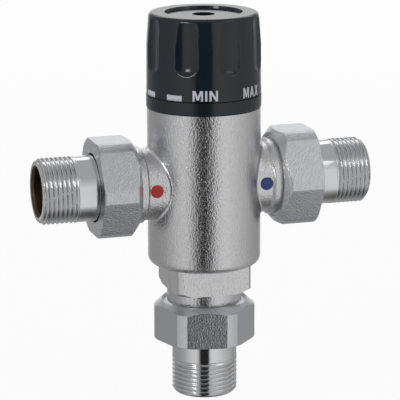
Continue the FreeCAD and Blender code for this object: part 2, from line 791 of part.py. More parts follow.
# ---------------------------------------------------------------------------
# Drive nut, overload spring, element and shuttle
# ---------------------------------------------------------------------------
def make_drive_nut():
    """Hexagonal cup that slides in the bonnet and is moved by the spindle's thread."""
    body = new_body("drive_nut")
    raised(body, "hexagon", lambda sketch: polygon(sketch, 6, "drive_flats"), "drive_low", "drive_height")
    clip = "drive_low + drive_clip_groove"
    turned(body, "cup", [
        ("0", "drive_low - 1"),
        ("drive_cup_radius", "drive_low - 1"),
        ("drive_cup_radius", clip),
        ("drive_cup_radius + drive_clip_groove", clip),
        ("drive_cup_radius + drive_clip_groove", clip + " + circlip_height"),
        ("drive_cup_radius", clip + " + circlip_height"),
        ("drive_cup_radius", "drive_cup_top"),
        ("spindle_thread_radius + running_gap", "drive_cup_top"),
        ("spindle_thread_radius + running_gap", "drive_top + 1"),
        ("0", "drive_top + 1"),
    ], cut=True)
    return body


def make_spring_cap():
    """Cap under the overload spring; its pocket takes the element's piston."""
    body = new_body("spring_cap")
    turned(body, "cap", [
        ("0", "piston_top"),
        ("piston_radius + running_gap", "piston_top"),
        ("piston_radius + running_gap", "cap_low"),
        ("drive_cup_radius - seat_gap", "cap_low"),
        ("drive_cup_radius - seat_gap", "cap_top"),
        ("0", "cap_top"),
    ])
    return body


def make_piston():
    """Push rod of the wax element."""
    body = new_body("element_piston")
    turned(body, "rod", [
        ("0", "piston_low"),
        ("piston_radius - 0.3", "piston_low"),
        ("piston_radius", "piston_low + 0.3"),
        ("piston_radius", "piston_top"),
        ("0", "piston_top"),
    ])
    return body


def make_wax_element():
    """Wax element: copper cup below, guide above, collar that stands on the shuttle's hub."""
    body = new_body("wax_element")
    turned(body, "element", [
        ("0", "hub_low - wax_cup_length"),
        ("wax_cup_radius - 1", "hub_low - wax_cup_length"),
        ("wax_cup_radius", "hub_low - wax_cup_length + 1"),
        ("wax_cup_radius", "hub_low - 0.5"),
        ("guide_radius", "hub_low - 0.5"),
        ("guide_radius", "hub_top"),
        ("collar_radius", "hub_top"),
        ("collar_radius", "hub_top + collar_height"),
        ("guide_radius", "hub_top + collar_height"),
        ("guide_radius", "guide_top - 0.6"),
        ("guide_radius - 0.6", "guide_top"),
        ("piston_radius + running_gap", "guide_top"),
        ("piston_radius + running_gap", "piston_low - 0.5"),
        ("0", "piston_low - 0.5"),
    ])
    return body


def make_shuttle():
    """Sliding sleeve between the hot and the cold seat, with a hub on four arms."""
    body = new_body("shuttle")
    seal_low = "inlet_height - seal_height / 2"
    inner = "shuttle_radius - shuttle_wall"
    turned(body, "sleeve", [
        (inner, "shuttle_low"),
        ("shuttle_radius", "shuttle_low"),
        ("shuttle_radius", seal_low),
        ("shuttle_radius - seal_groove / 2", seal_low),
        ("shuttle_radius - seal_groove / 2", seal_low + " + seal_height"),
        ("shuttle_radius", seal_low + " + seal_height"),
        ("shuttle_radius", "cold_seat"),
        (inner, "cold_seat"),
    ])
    for name, along_x, along_y in (("arm_x", inner + " + 0.3", "shuttle_spoke_width / 2"),
                                   ("arm_y", "shuttle_spoke_width / 2", inner + " + 0.3")):
        raised(body, name, rectangle("-(%s)" % along_x, along_x, "-(%s)" % along_y, along_y),
               "hub_low", "shuttle_hub_height")
    raised(body, "hub", disc("collar_radius"), "hub_low", "shuttle_hub_height")
    raised(body, "hub_hole", disc("guide_radius + seat_gap"), "hub_low - 1", "shuttle_hub_height + 2", cut=True)
    return body


def make_flow_guide():
    """Moulded guide in the outlet bore: floor for the return spring and windows for the stream."""
    body = new_body("flow_guide")
    outer = "spring_bore_radius - seat_gap"
    turned(body, "tube", [
        ("port_bore_radius - 1.4", "spring_ledge"),
        (outer, "spring_ledge"),
        (outer, "spring_ledge + guide_height"),
        (outer + " - guide_wall", "spring_ledge + guide_height"),
        (outer + " - guide_wall", "spring_ledge + guide_floor"),
        ("port_bore_radius - 1.4", "spring_ledge + guide_floor"),
    ])
    window = raised(body, "window", rectangle("-guide_window_width / 2", "guide_window_width / 2",
                                              "spring_ledge + guide_floor + 2",
                                              "spring_ledge + guide_floor + 2 + guide_window_height"),
                    "0", "spring_bore_radius + 1", plane=UP, cut=True)
    around(body, window, 4)
    return body


# ---------------------------------------------------------------------------
# Union kits: modelled along +Z from the spigot's face, then turned to their port
# ---------------------------------------------------------------------------
PORTS = {
    "hot": (Rotation(Vector(0, 1, 0), -90), ("-hot_face", "0", "inlet_height"), "0"),
    "cold": (Rotation(Vector(0, 1, 0), 90), ("cold_face", "0", "inlet_height"), "0"),
    "outlet": (Rotation(Vector(1, 0, 0), 180), ("0", "0", "outlet_face"), "outlet_nut_turn"),
}


def at_port(piece, port):
    """Move a piece that was modelled on the spigot's face to its port."""
    rotation, spot, _turn = PORTS[port]
    piece.Placement = Placement(Vector(0, 0, 0), rotation)
    for letter, text in zip("xyz", spot):
        piece.setExpression("Placement.Base." + letter, bound(text))
    return piece


def make_union_nut(port):
    """Hexagonal union nut: full-bore thread, inner lip behind the tail's flange."""
    body = new_body(port + "_union_nut")
    turn = PORTS[port][2]
    raised(body, "hexagon", lambda sketch: polygon(sketch, 6, "nut_flats", turn), "nut_inner", "nut_length")
    big = "nut_flats"
    turned(body, "corners", [
        ("nut_corner_radius", "nut_outer - nut_outer_chamfer"),
        ("nut_corner_radius - nut_outer_chamfer * 2", "nut_outer"),
        ("nut_corner_radius - nut_outer_chamfer * 2", "nut_outer + 1"),
        (big, "nut_outer + 1"),
        (big, "nut_inner - 1"),
        ("nut_corner_radius - nut_inner_chamfer * 1.2", "nut_inner - 1"),
        ("nut_corner_radius - nut_inner_chamfer * 1.2", "nut_inner"),
        ("nut_corner_radius", "nut_inner + nut_inner_chamfer"),
    ], cut=True)
    thread = "spigot_radius + running_gap"
    turned(body, "bore", [
        ("0", "nut_inner - 1"),
        ("nut_mouth_radius", "nut_inner - 1"),
        ("nut_mouth_radius", "nut_inner"),
        (thread, "nut_inner + (nut_mouth_radius - (%s))" % thread),
        (thread, "0"),
        ("flange_radius + 0.25", "0.5"),
        ("flange_radius + 0.25", "tail_start"),
        ("nut_hole_radius", "tail_start"),
        ("nut_hole_radius", "nut_outer + 1"),
        ("0", "nut_outer + 1"),
    ], cut=True)
    return at_port(body, port)


def make_tail(port):
    """Male tail: flange for the gasket, plain shank, pipe thread and bore."""
    body = new_body(port + "_tail")
    length = "tail_length"
    thread = "tail_length - tail_thread_length"
    plain = "tail_radius - tail_relief"
    turned(body, "shank", [
        ("tail_bore_radius", "gasket_thickness"),
        ("flange_radius", "gasket_thickness"),
        ("flange_radius", "tail_start"),
        ("tail_radius", "tail_start"),
        ("tail_radius", thread + " - 4.5"),
        (plain, thread + " - 4.4"),
        (plain, thread),
        ("tail_radius", thread + " + 0.6"),
        ("tail_radius", length + " - tail_chamfer"),
        ("tail_radius - tail_chamfer", length),
        ("tail_mouth_radius", length),
        ("tail_bore_radius", length + " - (tail_mouth_radius - tail_bore_radius)"),
    ])
    if port != "outlet":
        end = "strainer_end"
        turned(body, "cartridge_bore", [
            ("0", "gasket_thickness - 1"),
            ("cartridge_bore_radius", "gasket_thickness - 1"),
            ("cartridge_bore_radius", end),
            ("tail_bore_radius", end),
            ("0", end),
        ], cut=True)
    return at_port(body, port)


def make_gasket(port):
    """Flat fibre washer between the spigot and the tail."""
    body = new_body(port + "_gasket")
    hole = "gasket_hole_radius"

    def draw(sketch):
        circle(sketch, "gasket_radius")
        circle(sketch, hole)
    raised(body, "washer", draw, "0", "gasket_thickness")
    return at_port(body, port)


def make_cartridge(port):
    """Housing of the backflow stop: seat ring upstream, guide boss on three arms downstream."""
    body = new_body(port + "_check_housing")
    outer = "cartridge_bore_radius - seat_gap"
    inner = outer + " - cartridge_wall"
    turned(body, "shell", [
        (inner, "gasket_thickness"),
        (outer, "gasket_thickness"),
        (outer, "cartridge_end"),
        ("valve_seat_radius", "cartridge_end"),
        ("valve_seat_radius", "seat_low"),
        (inner, "seat_low"),
    ])
    arm = raised(body, "arm", rectangle("0", inner + " + 0.3", "-arm_width / 2", "arm_width / 2"),
                 "gasket_thickness", "arm_height")
    around(body, arm, 3)
    raised(body, "boss", disc("stem_boss_radius"), "gasket_thickness", "arm_height")
    raised(body, "stem_hole", disc("stem_radius + 0.1"), "gasket_thickness - 1", "arm_height + 2", cut=True)
    return at_port(body, port)


def make_poppet(port):
    """Poppet of the backflow stop: disc on its seat and a stem that slides in the guide boss."""
    body = new_body(port + "_check_poppet")
    turned(body, "poppet", [
        ("0", "gasket_thickness + 0.3"),
        ("stem_radius", "gasket_thickness + 0.3"),
        ("stem_radius", "seat_low - poppet_thickness"),
        ("poppet_radius", "seat_low - poppet_thickness"),
        ("poppet_radius", "seat_low - 0.05"),
        ("valve_seat_radius - 0.4", "seat_low - 0.05"),
        ("valve_seat_radius - 1.6", "seat_low + 1.0"),
        ("0", "seat_low + 1.0"),
    ])
    return at_port(body, port)


def make_strainer(port):
    """Slotted basket upstream of the backflow stop."""
    body = new_body(port + "_strainer")
    basket = "strainer_basket_radius"
    wall = "strainer_wall"
    turned(body, "basket", [
        (basket + " - " + wall, "cartridge_end"),
        ("cartridge_bore_radius - seat_gap", "cartridge_end"),
        ("cartridge_bore_radius - seat_gap", "strainer_end"),
        (basket, "strainer_end"),
        (basket + " - 0.6", "strainer_end + strainer_depth"),
        ("0", "strainer_end + strainer_depth"),
        ("0", "strainer_end + strainer_depth - " + wall),
        (basket + " - 0.6 - " + wall, "strainer_end + strainer_depth - " + wall),
    ])
    slot = raised(body, "slot", rectangle("0", basket + " + 1", "-strainer_slot_width / 2", "strainer_slot_width / 2"),
                  "strainer_end + 1", "strainer_depth - 2.4", cut=True)
    around(body, slot, "strainer_slots")
    return at_port(body, port)


# ---------------------------------------------------------------------------
# The whole valve
# ---------------------------------------------------------------------------
pieces = [make_valve_body(), make_bonnet(), make_index_ring(), make_knob(), make_spindle(), make_knob_screw(),
          make_drive_nut(), make_spring_cap(), make_piston(), make_wax_element(), make_shuttle(),
          make_flow_guide()]

seal = "seal_groove"
pieces.append(seal_ring("bonnet_o_ring", "chamber_radius - seal_groove / 2", "seal_groove / 2",
                        "body_top - bonnet_thread_length - 3.9 + seal_height / 2"))
pieces.append(seal_ring("spindle_o_ring", "spindle_radius - seal_groove / 2", "seal_groove / 2",
                        "roof_low + 1.2 + seal_height / 2"))
pieces.append(seal_ring("shuttle_o_ring", "shuttle_radius - seal_groove / 4", "seal_groove / 4", "inlet_height"))
pieces.append(make_circlip("spindle_circlip", "spindle_radius - circlip_groove", "spindle_radius + circlip_width",
                           "bonnet_top + seat_gap", "circlip_height", "spindle_radius"))
pieces.append(make_circlip("cap_circlip", "drive_cup_radius - circlip_width * 0.6", "drive_cup_radius + drive_clip_groove",
                           "drive_low + drive_clip_groove", "circlip_height", "drive_cup_radius"))
pieces.append(coil("overload_spring", "drive_cup_radius - overload_wire / 2 - 0.2", "overload_wire",
                   "cap_top", "drive_cup_top", "overload_turns"))
pieces.append(coil("return_spring", "return_radius", "return_wire",
                   "spring_ledge + guide_floor", "hub_low", "return_turns"))
for port in PORTS:
    pieces += [make_union_nut(port), make_tail(port), make_gasket(port)]
for port in ("hot", "cold"):
    pieces += [make_cartridge(port), make_poppet(port), make_strainer(port)]
    spring = coil(port + "_check_spring", "check_spring_radius", "check_spring_wire",
                  "gasket_thickness + arm_height", "seat_low - poppet_thickness", "check_spring_turns")
    lift = spring.Placement
    rotation, spot, _turn = PORTS[port]
    spring.Placement = Placement(Vector(*[value(text) for text in spot]), rotation).multiply(lift)
    pieces.append(spring)
pieces += [make_mark("hot", -1), make_mark("cold", 1)]

doc.recompute()
faults = [o.Name + " " + o.getStatusString() for o in doc.Objects if {"Invalid", "Error"} & set(o.State)]
for piece in pieces:
    shape = piece.Shape
    if shape.isNull() or not shape.isValid() or shape.Volume <= 0 or not shape.Solids:
        faults.append(piece.Label)
if faults:
    raise SystemExit("not sound: " + ", ".join(faults))

os.makedirs("parts", exist_ok=True)
for piece in pieces:
    piece.Shape.exportStep("parts/" + piece.Label + ".step")
    print("%-22s %2d solid  %9.1f mm3" % (piece.Label, len(piece.Shape.Solids), piece.Shape.Volume))
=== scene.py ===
"""Finish of a three-port hot and cold water mixing valve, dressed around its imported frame.

Metres, +Z up, as in the frame: the hot inlet points along -X, the cold inlet along +X, the
outlet down, and the front with the index notch is -Y.  Each sub-assembly is a class that holds
its own sizes, builds its meshes and dresses them; each finish is a small frozen dataclass.
"""

import logging
import math
from dataclasses import dataclass, field
from enum import Enum

import bmesh
import bpy
from mathutils import Matrix, Vector


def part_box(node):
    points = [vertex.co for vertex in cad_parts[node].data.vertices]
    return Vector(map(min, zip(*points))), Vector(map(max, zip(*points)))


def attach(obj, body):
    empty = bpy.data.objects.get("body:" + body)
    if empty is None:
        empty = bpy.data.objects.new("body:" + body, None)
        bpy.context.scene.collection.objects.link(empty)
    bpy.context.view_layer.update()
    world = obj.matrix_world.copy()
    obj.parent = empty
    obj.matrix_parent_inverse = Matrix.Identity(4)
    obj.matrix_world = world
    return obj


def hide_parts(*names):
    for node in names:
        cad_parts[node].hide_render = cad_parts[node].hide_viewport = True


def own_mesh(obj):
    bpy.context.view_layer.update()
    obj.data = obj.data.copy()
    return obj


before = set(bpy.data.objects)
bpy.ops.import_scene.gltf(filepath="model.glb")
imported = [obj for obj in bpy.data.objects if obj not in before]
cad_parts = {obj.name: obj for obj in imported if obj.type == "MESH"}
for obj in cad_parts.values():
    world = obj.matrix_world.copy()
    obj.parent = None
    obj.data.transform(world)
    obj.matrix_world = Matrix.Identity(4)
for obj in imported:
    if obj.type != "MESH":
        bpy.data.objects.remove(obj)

LOG = logging.getLogger("mixing_valve")
MM = 0.001


# ---------------------------------------------------------------------------
# Node trees
# ---------------------------------------------------------------------------
class Term:
    """One number socket of a node tree, so that sums are written as sums."""

    def __init__(self, tree: bpy.types.NodeTree, socket: bpy.types.NodeSocket) -> None:
        """Keep the tree and the output socket."""
        self.tree = tree
        self.socket = socket

    def math(self, operation: str, *others: "Term | float") -> "Term":
        """Result of one Math node.

        Args:
            operation: name of the Math node's operation.
            others: further operands, terms or plain numbers.

        Returns:
            The node's output as a new term.
        """
        node = self.tree.nodes.new("ShaderNodeMath")
        node.operation = operation
        self.tree.links.new(self.socket, node.inputs[0])
        for index, other in enumerate(others, start=1):
            if isinstance(other, Term):
                self.tree.links.new(other.socket, node.inputs[index])
            else:
                node.inputs[index].default_value = other
        return Term(self.tree, node.outputs[0])

    def __add__(self, other: "Term | float") -> "Term":
        """Sum."""
        return self.math("ADD", other)

    def __sub__(self, other: "Term | float") -> "Term":
        """Difference."""
        return self.math("SUBTRACT", other)

    def __mul__(self, other: "Term | float") -> "Term":
        """Product."""
        return self.math("MULTIPLY", other)

    def __truediv__(self, other: "Term | float") -> "Term":
        """Quotient."""
        return self.math("DIVIDE", other)

    def sin(self) -> "Term":
        """Sine of radians."""
        return self.math("SINE")

    def cos(self) -> "Term":
        """Cosine of radians."""
        return self.math("COSINE")

    def low(self, other: "Term | float") -> "Term":
        """Smaller of two."""
        return self.math("MINIMUM", other)

    def high(self, other: "Term | float") -> "Term":
        """Larger of two."""
        return self.math("MAXIMUM", other)

    def clamped(self) -> "Term":
        """Value held between 0 and 1."""
        return self.low(1.0).high(0.0)


class Shader:
    """Short-hand for building one material's node tree."""

    def __init__(self, name: str) -> None:
        """Start an empty node material with its output and Principled shader."""
        self.material = bpy.data.materials.new(name)
        self.material.use_nodes = True
        self.tree = self.material.node_tree
        self.tree.nodes.clear()
        self.output = self.add("ShaderNodeOutputMaterial")
        self.surface = self.add("ShaderNodeBsdfPrincipled")
        self.tree.links.new(self.surface.outputs["BSDF"], self.output.inputs["Surface"])
        self.place = self.add("ShaderNodeTexCoord").outputs["Object"]

    def add(self, kind: str, **settings: object) -> bpy.types.Node:
        """New node with its settings.

        Args:
            kind: node type.
            settings: attributes to set on the node.

        Returns:
            The node.
        """
        node = self.tree.nodes.new(kind)
        for name, setting in settings.items():
            setattr(node, name, setting)
        return node

    def give(self, node: bpy.types.Node, **inputs: object) -> bpy.types.Node:
        """Set inputs of a node by name, with links for sockets and plain values otherwise."""
        for name, given in inputs.items():
            socket = node.inputs[name.replace("_", " ")]
            if isinstance(given, Term):
                given = given.socket
            if isinstance(given, bpy.types.NodeSocket):
                self.tree.links.new(given, socket)
            else:
                socket.default_value = given
        return node

    def set(self, **inputs: object) -> None:
        """Set inputs of the Principled shader."""
        self.give(self.surface, **inputs)

    def noise(self, scale: float, detail: float = 2.0, stretch: tuple = (1.0, 1.0, 1.0)) -> Term:
        """Noise value in object space.

        Args:
            scale: features per metre.
            detail: octaves.
            stretch: factors on the coordinates.

        Returns:
            The noise's value, about 0.5 on average.
        """
        mapping = self.give(self.add("ShaderNodeMapping"), Vector=self.place, Scale=stretch)
        node = self.give(self.add("ShaderNodeTexNoise"), Vector=mapping.outputs[0], Scale=scale, Detail=detail)
        return Term(self.tree, node.outputs["Fac"])

    def cells(self, scale: float, feature: str = "F1") -> Term:
        """Distance value of a Voronoi pattern in object space."""
        node = self.give(self.add("ShaderNodeTexVoronoi", feature=feature), Vector=self.place, Scale=scale)
        return Term(self.tree, node.outputs["Distance"])

    def blend(self, factor: Term, first: tuple, second: tuple) -> bpy.types.NodeSocket:
        """Colour between two colours.

        Args:
            factor: 0 for the first colour, 1 for the second.
            first: colour as red, green, blue.
            second: colour as red, green, blue.

        Returns:
            The colour socket.
        """
        node = self.add("ShaderNodeMix", data_type="RGBA")
        self.tree.links.new(factor.socket, node.inputs["Factor"])
        node.inputs[6].default_value = (*first, 1.0)
        node.inputs[7].default_value = (*second, 1.0)
        return node.outputs[2]

    def relief(self, height: Term, depth: float) -> None:
        """Bump of a height pattern, depth in metres."""
        bump = self.give(self.add("ShaderNodeBump"), Height=height, Strength=1.0, Distance=depth)
        self.tree.links.new(bump.outputs[0], self.surface.inputs["Normal"])


def tint(colour: tuple, factor: float) -> tuple:
    """Colour with each channel multiplied."""
    return tuple(min(1.0, channel * factor) for channel in colour)


# ---------------------------------------------------------------------------
# Finishes
# ---------------------------------------------------------------------------
@dataclass(frozen=True)
class Metal:
    """Plated, turned or drawn metal with a fine grain.

    Args:
        name: material name.
        colour: reflection colour.
        roughness: middle roughness.
        grain: grains per metre.
        grain_depth: height of the grain in metres.
        spread: how far the roughness strays from its middle.
        stretch: stretch of the grain, for drawn or brushed surfaces.
        tarnish: share by which patches are darker.
    """

    name: str
    colour: tuple
    roughness: float
    grain: float = 1500.0
    grain_depth: float = 0.000004
    spread: float = 0.06
    stretch: tuple = (1.0, 1.0, 1.0)
    tarnish: float = 0.06

    def material(self) -> bpy.types.Material:
        """Build the node material."""
        shader = Shader(self.name)
        fine = shader.noise(self.grain, 3.0, self.stretch)
        patches = shader.noise(90.0, 3.0)
        colour = shader.blend(patches.math("MULTIPLY_ADD", 1.6, -0.3).clamped(),
                              tint(self.colour, 1.0 - self.tarnish), self.colour)
        rough = fine.math("MULTIPLY_ADD", self.spread * 2, self.roughness - self.spread)
        rough = (rough + patches * (self.spread * 0.5)).clamped()
        shader.set(Base_Color=colour, Metallic=1.0, Roughness=rough)
        shader.relief(fine, self.grain_depth)
        return shader.material


@dataclass(frozen=True)
class PearlChrome:
    """Blasted and chromed casting: a close, sparkling grain under satin plating.

    Args:
        name: material name.
        colour: reflection colour.
        roughness: middle roughness.
        grain: grains per metre.
        depth: height of the grain in metres.
    """

    name: str = "pearl_chrome"
    colour: tuple = (0.69, 0.69, 0.70)
    roughness: float = 0.16
    grain: float = 2000.0
    depth: float = 0.00021

    def material(self) -> bpy.types.Material:
        """Build the node material."""
        shader = Shader(self.name)
        coarse = shader.noise(self.grain * 0.55, 2.0)
        fine = shader.noise(self.grain * 1.6, 2.0)
        pits = shader.cells(self.grain * 0.8)
        height = coarse * 0.6 + fine * 0.3 + pits * 0.25
        colour = shader.blend(coarse, tint(self.colour, 0.9), tint(self.colour, 1.06))
        rough = fine.math("MULTIPLY_ADD", 0.16, self.roughness - 0.08)
        shader.set(Base_Color=colour, Metallic=1.0, Roughness=rough)
        shader.relief(height, self.depth)
        return shader.material


@dataclass(frozen=True)
class Plastic:
    """Moulded plastic, rubber, fibre or paint.

    Args:
        name: material name.
        colour: diffuse colour.
        roughness: middle roughness.
        grain: texture features per metre.
        grain_depth: height of the texture in metres.
        variation: share by which the colour changes.
        coat: clear coat weight.
    """

    name: str
    colour: tuple
    roughness: float
    grain: float = 900.0
    grain_depth: float = 0.000003
    variation: float = 0.12
    coat: float = 0.0

    def material(self) -> bpy.types.Material:
        """Build the node material."""
        shader = Shader(self.name)
        fine = shader.noise(self.grain, 3.0)
        wide = shader.noise(60.0, 2.0)
        colour = shader.blend(wide, tint(self.colour, 1.0 - self.variation), tint(self.colour, 1.0 + self.variation))
        rough = fine.math("MULTIPLY_ADD", 0.08, self.roughness - 0.04) + wide * 0.03
        shader.set(Base_Color=colour, Roughness=rough, Coat_Weight=self.coat, Coat_Roughness=0.06)
        shader.relief(fine, self.grain_depth)
        return shader.material


class Finish(Enum):
    """The valve's finishes; each name is also a material slot of the record, apart from two."""

    CAST_CHROME = PearlChrome()
    NUT_CHROME = PearlChrome("nut_chrome", (0.66, 0.68, 0.71), 0.22, 2600.0, 0.00018)
    TAIL_CHROME = Metal("tail_chrome", (0.74, 0.745, 0.76), 0.1, 1200.0, 0.000003)
    TURNED_BRASS = Metal("turned_brass", (0.62, 0.45, 0.24), 0.3, 1800.0, 0.000008, stretch=(0.2, 0.2, 3.0))
    # Bare brass of the tails' bores, its colour darkened far below brass as painted shade inside the bore.
    SHADED_BORE_BRASS = Metal("bore_brass", (0.12, 0.075, 0.045), 0.45, 1500.0, 0.00001, tarnish=0.3)
    COPPER_CUP = Metal("copper_cup", (0.72, 0.42, 0.28), 0.32)
    SPRING_STEEL = Metal("spring_steel", (0.55, 0.55, 0.57), 0.3)
    SCREW_STEEL = Metal("screw_steel", (0.52, 0.52, 0.54), 0.34)
    KNOB_BLACK = Plastic("knob_black", (0.010, 0.017, 0.025), 0.1, 700.0, 0.000003)
    RING_BLACK = Plastic("ring_black", (0.010, 0.016, 0.020), 0.2, 800.0, 0.000005)
    DIAL_PRINT = Plastic("dial_print", (0.72, 0.72, 0.80), 0.45, 2200.0, 0.000004, 0.05)
    GUIDE_PLASTIC = Plastic("guide_plastic", (0.05, 0.05, 0.055), 0.5)
    WHITE_PLASTIC = Plastic("white_plastic", (0.62, 0.62, 0.6), 0.45)
    SEAL_RUBBER = Plastic("seal_rubber", (0.02, 0.02, 0.02), 0.6)
    GASKET_FIBRE = Plastic("gasket_fibre", (0.10, 0.2, 0.14), 0.75, 2500.0, 0.00003, 0.2)
    HOT_ENAMEL = Plastic("hot_enamel", (0.52, 0.02, 0.025), 0.32, 1600.0, 0.00002, 0.2)
    COLD_ENAMEL = Plastic("cold_enamel", (0.03, 0.05, 0.23), 0.32, 1600.0, 0.00002, 0.2)

    def build(self) -> bpy.types.Material:
        """Material of this finish, made once."""
        made = bpy.data.materials.get("finish_" + self.value.name)
        if made is None:
            made = self.value.material()
            made.name = "finish_" + self.value.name
        return made


# ---------------------------------------------------------------------------
# Meshes
# ---------------------------------------------------------------------------
SHARP = math.radians(32.0)


def new_piece(name: str, mesh: bpy.types.Mesh) -> bpy.types.Object:
    """Object at the origin for a finished mesh."""
    piece = bpy.data.objects.new(name, mesh)
    bpy.context.scene.collection.objects.link(piece)
    return piece


def smooth(mesh: bpy.types.Mesh, angle: float = SHARP) -> None:
    """Shade a mesh smooth, with edges sharper than the angle kept."""
    mesh.shade_smooth()
    mesh.set_sharp_from_angle(angle=angle)


def outward(mesh: bpy.types.Mesh, join: float = 0.000001) -> None:
    """Merge doubles and turn every face outwards."""
    work = bmesh.new()
    work.from_mesh(mesh)
    bmesh.ops.remove_doubles(work, verts=work.verts, dist=join)
    bmesh.ops.recalc_face_normals(work, faces=work.faces)
    work.to_mesh(mesh)
    work.free()


def flattened(piece: bpy.types.Object) -> bpy.types.Mesh:
    """Plain mesh of an object with its modifiers worked out, and the modifiers removed."""
    graph = bpy.context.evaluated_depsgraph_get()
    mesh = bpy.data.meshes.new_from_object(piece.evaluated_get(graph), preserve_all_data_layers=True,
                                           depsgraph=graph)
    piece.modifiers.clear()
    old, piece.data = piece.data, mesh
    bpy.data.meshes.remove(old)
    return mesh


def eased_copy(node: str, name: str, edge: float, finish: Finish, lips: tuple = ()) -> bpy.types.Object:
    """Copy of a CAD node with its edges eased, which stands for the node.

    Args:
        node: CAD node's name.
        name: name of the new piece.
        edge: width of the eased edges in metres.
        finish: finish of the piece.
        lips: height range whose shallow outer creases are rounded first, or nothing.

    Returns:
        The finished piece, not yet riding on a body.
    """
    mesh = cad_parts[node].data.copy()
    mesh.materials.clear()
    work = bmesh.new()
    work.from_mesh(mesh)
    bmesh.ops.remove_doubles(work, verts=work.verts, dist=0.000002)
    bmesh.ops.dissolve_limit(work, angle_limit=math.radians(0.4), verts=work.verts, edges=work.edges)
    if lips:
        bmesh.ops.remove_doubles(work, verts=work.verts, dist=0.00003)
        creased = [item for item in work.edges if len(item.link_faces) == 2 and item.is_convex
                   and math.radians(12.0) < item.calc_face_angle() < math.radians(70.0)
                   and all(lips[0] < vert.co.z < lips[1] and vert.co.xy.length > 0.019 for vert in item.verts)]
        bmesh.ops.bevel(work, geom=creased, offset=edge, offset_type="OFFSET", segments=4, profile=0.5,
                        affect="EDGES", clamp_overlap=False)
    work.to_mesh(mesh)
    work.free()
    piece = new_piece(name, mesh)
    bevel = piece.modifiers.new("eased", "BEVEL")
    bevel.width = edge
    bevel.segments = 2
    bevel.limit_method = "ANGLE"
    bevel.angle_limit = math.radians(28.0)
    bevel.use_clamp_overlap = True
    bevel.miter_outer = "MITER_ARC"
    mesh = flattened(piece)
    smooth(mesh, math.radians(40.0))
    weighted = piece.modifiers.new("weighted", "WEIGHTED_NORMAL")
    weighted.keep_sharp = True
    flattened(piece)
    piece.data.materials.append(finish.build())
    return piece


def lathe(name: str, outline: list, segments: int) -> bpy.types.Mesh:
    """Surface swept by an open outline about the Z axis.

    Args:
        name: mesh name.
        outline: radius and height pairs in metres, in order.
        segments: faces round the axis.

    Returns:
        The mesh, open at both ends of the outline.
    """
    mesh = bpy.data.meshes.new(name)
    points, faces = [], []
    for radius, height in outline:
        for k in range(segments):
            angle = math.tau * k / segments
            points.append((radius * math.cos(angle), radius * math.sin(angle), height))
    for row in range(len(outline) - 1):
        for k in range(segments):
            after = (k + 1) % segments
            low, high = row * segments, (row + 1) * segments
            faces.append((low + k, low + after, high + after, high + k))
    mesh.from_pydata(points, [], faces)
    return mesh


# ---------------------------------------------------------------------------
# Geometry Nodes
# ---------------------------------------------------------------------------
class Recipe:
    """One Geometry Nodes tree with named inputs, run once on an empty object."""

    def __init__(self, name: str, sizes: dict, counts: dict) -> None:
        """Start the tree.

        Args:
            name: tree name.
            sizes: named float inputs and their values.
            counts: named integer inputs and their values.
        """
        self.tree = bpy.data.node_groups.new(name, "GeometryNodeTree")
        self.values = {**sizes, **counts}
        face = self.tree.interface
        for key in sizes:
            face.new_socket(name=key, in_out="INPUT", socket_type="NodeSocketFloat")
        for key in counts:
            face.new_socket(name=key, in_out="INPUT", socket_type="NodeSocketInt")
        face.new_socket(name="Finish", in_out="INPUT", socket_type="NodeSocketMaterial")
        face.new_socket(name="Geometry", in_out="OUTPUT", socket_type="NodeSocketGeometry")
        self.entry = self.tree.nodes.new("NodeGroupInput")

    def size(self, name: str) -> Term:
        """Named input as a term."""
        return Term(self.tree, self.entry.outputs[name])

    def node(self, kind: str, links: dict | None = None, **settings: object) -> bpy.types.Node:
        """New node.

        Args:
            kind: node type.
            links: inputs by name, terms, sockets or plain values.
            settings: attributes set on the node.

        Returns:
            The node.
        """
        made = self.tree.nodes.new(kind)
        for key, setting in settings.items():
            setattr(made, key, setting)
        for key, given in (links or {}).items():
            if isinstance(given, Term):
                given = given.socket
            if isinstance(given, bpy.types.NodeSocket):
                self.tree.links.new(given, made.inputs[key])
            else:
                made.inputs[key].default_value = given
        return made

    def vector(self, x: Term | float, y: Term | float, z: Term | float) -> bpy.types.NodeSocket:
        """Vector of three terms."""
        return self.node("ShaderNodeCombineXYZ", {"X": x, "Y": y, "Z": z}).outputs[0]

    def run(self, geometry: bpy.types.NodeSocket, finish: Finish) -> bpy.types.Mesh:
        """End the tree with Realize Instances and Set Material, and take its plain mesh.

        Args:
            geometry: socket of the finished geometry.
            finish: finish of all faces.

        Returns:
            The mesh.
        """
        real = self.node("GeometryNodeRealizeInstances", {"Geometry": geometry})
        dressed = self.node("GeometryNodeSetMaterial",
                            {"Geometry": real.outputs[0], "Material": self.entry.outputs["Finish"]})
        exit_node = self.tree.nodes.new("NodeGroupOutput")
        self.tree.links.new(dressed.outputs[0], exit_node.inputs["Geometry"])
        holder = new_piece("holder_" + self.tree.name, bpy.data.meshes.new("empty_" + self.tree.name))
        modifier = holder.modifiers.new("recipe", "NODES")
        modifier.node_group = self.tree
        for item in self.tree.interface.items_tree:
            if item.in_out == "INPUT":
                modifier[item.identifier] = finish.build() if item.name == "Finish" else self.values[item.name]
        mesh = flattened(holder)
        bpy.data.objects.remove(holder)
        return mesh


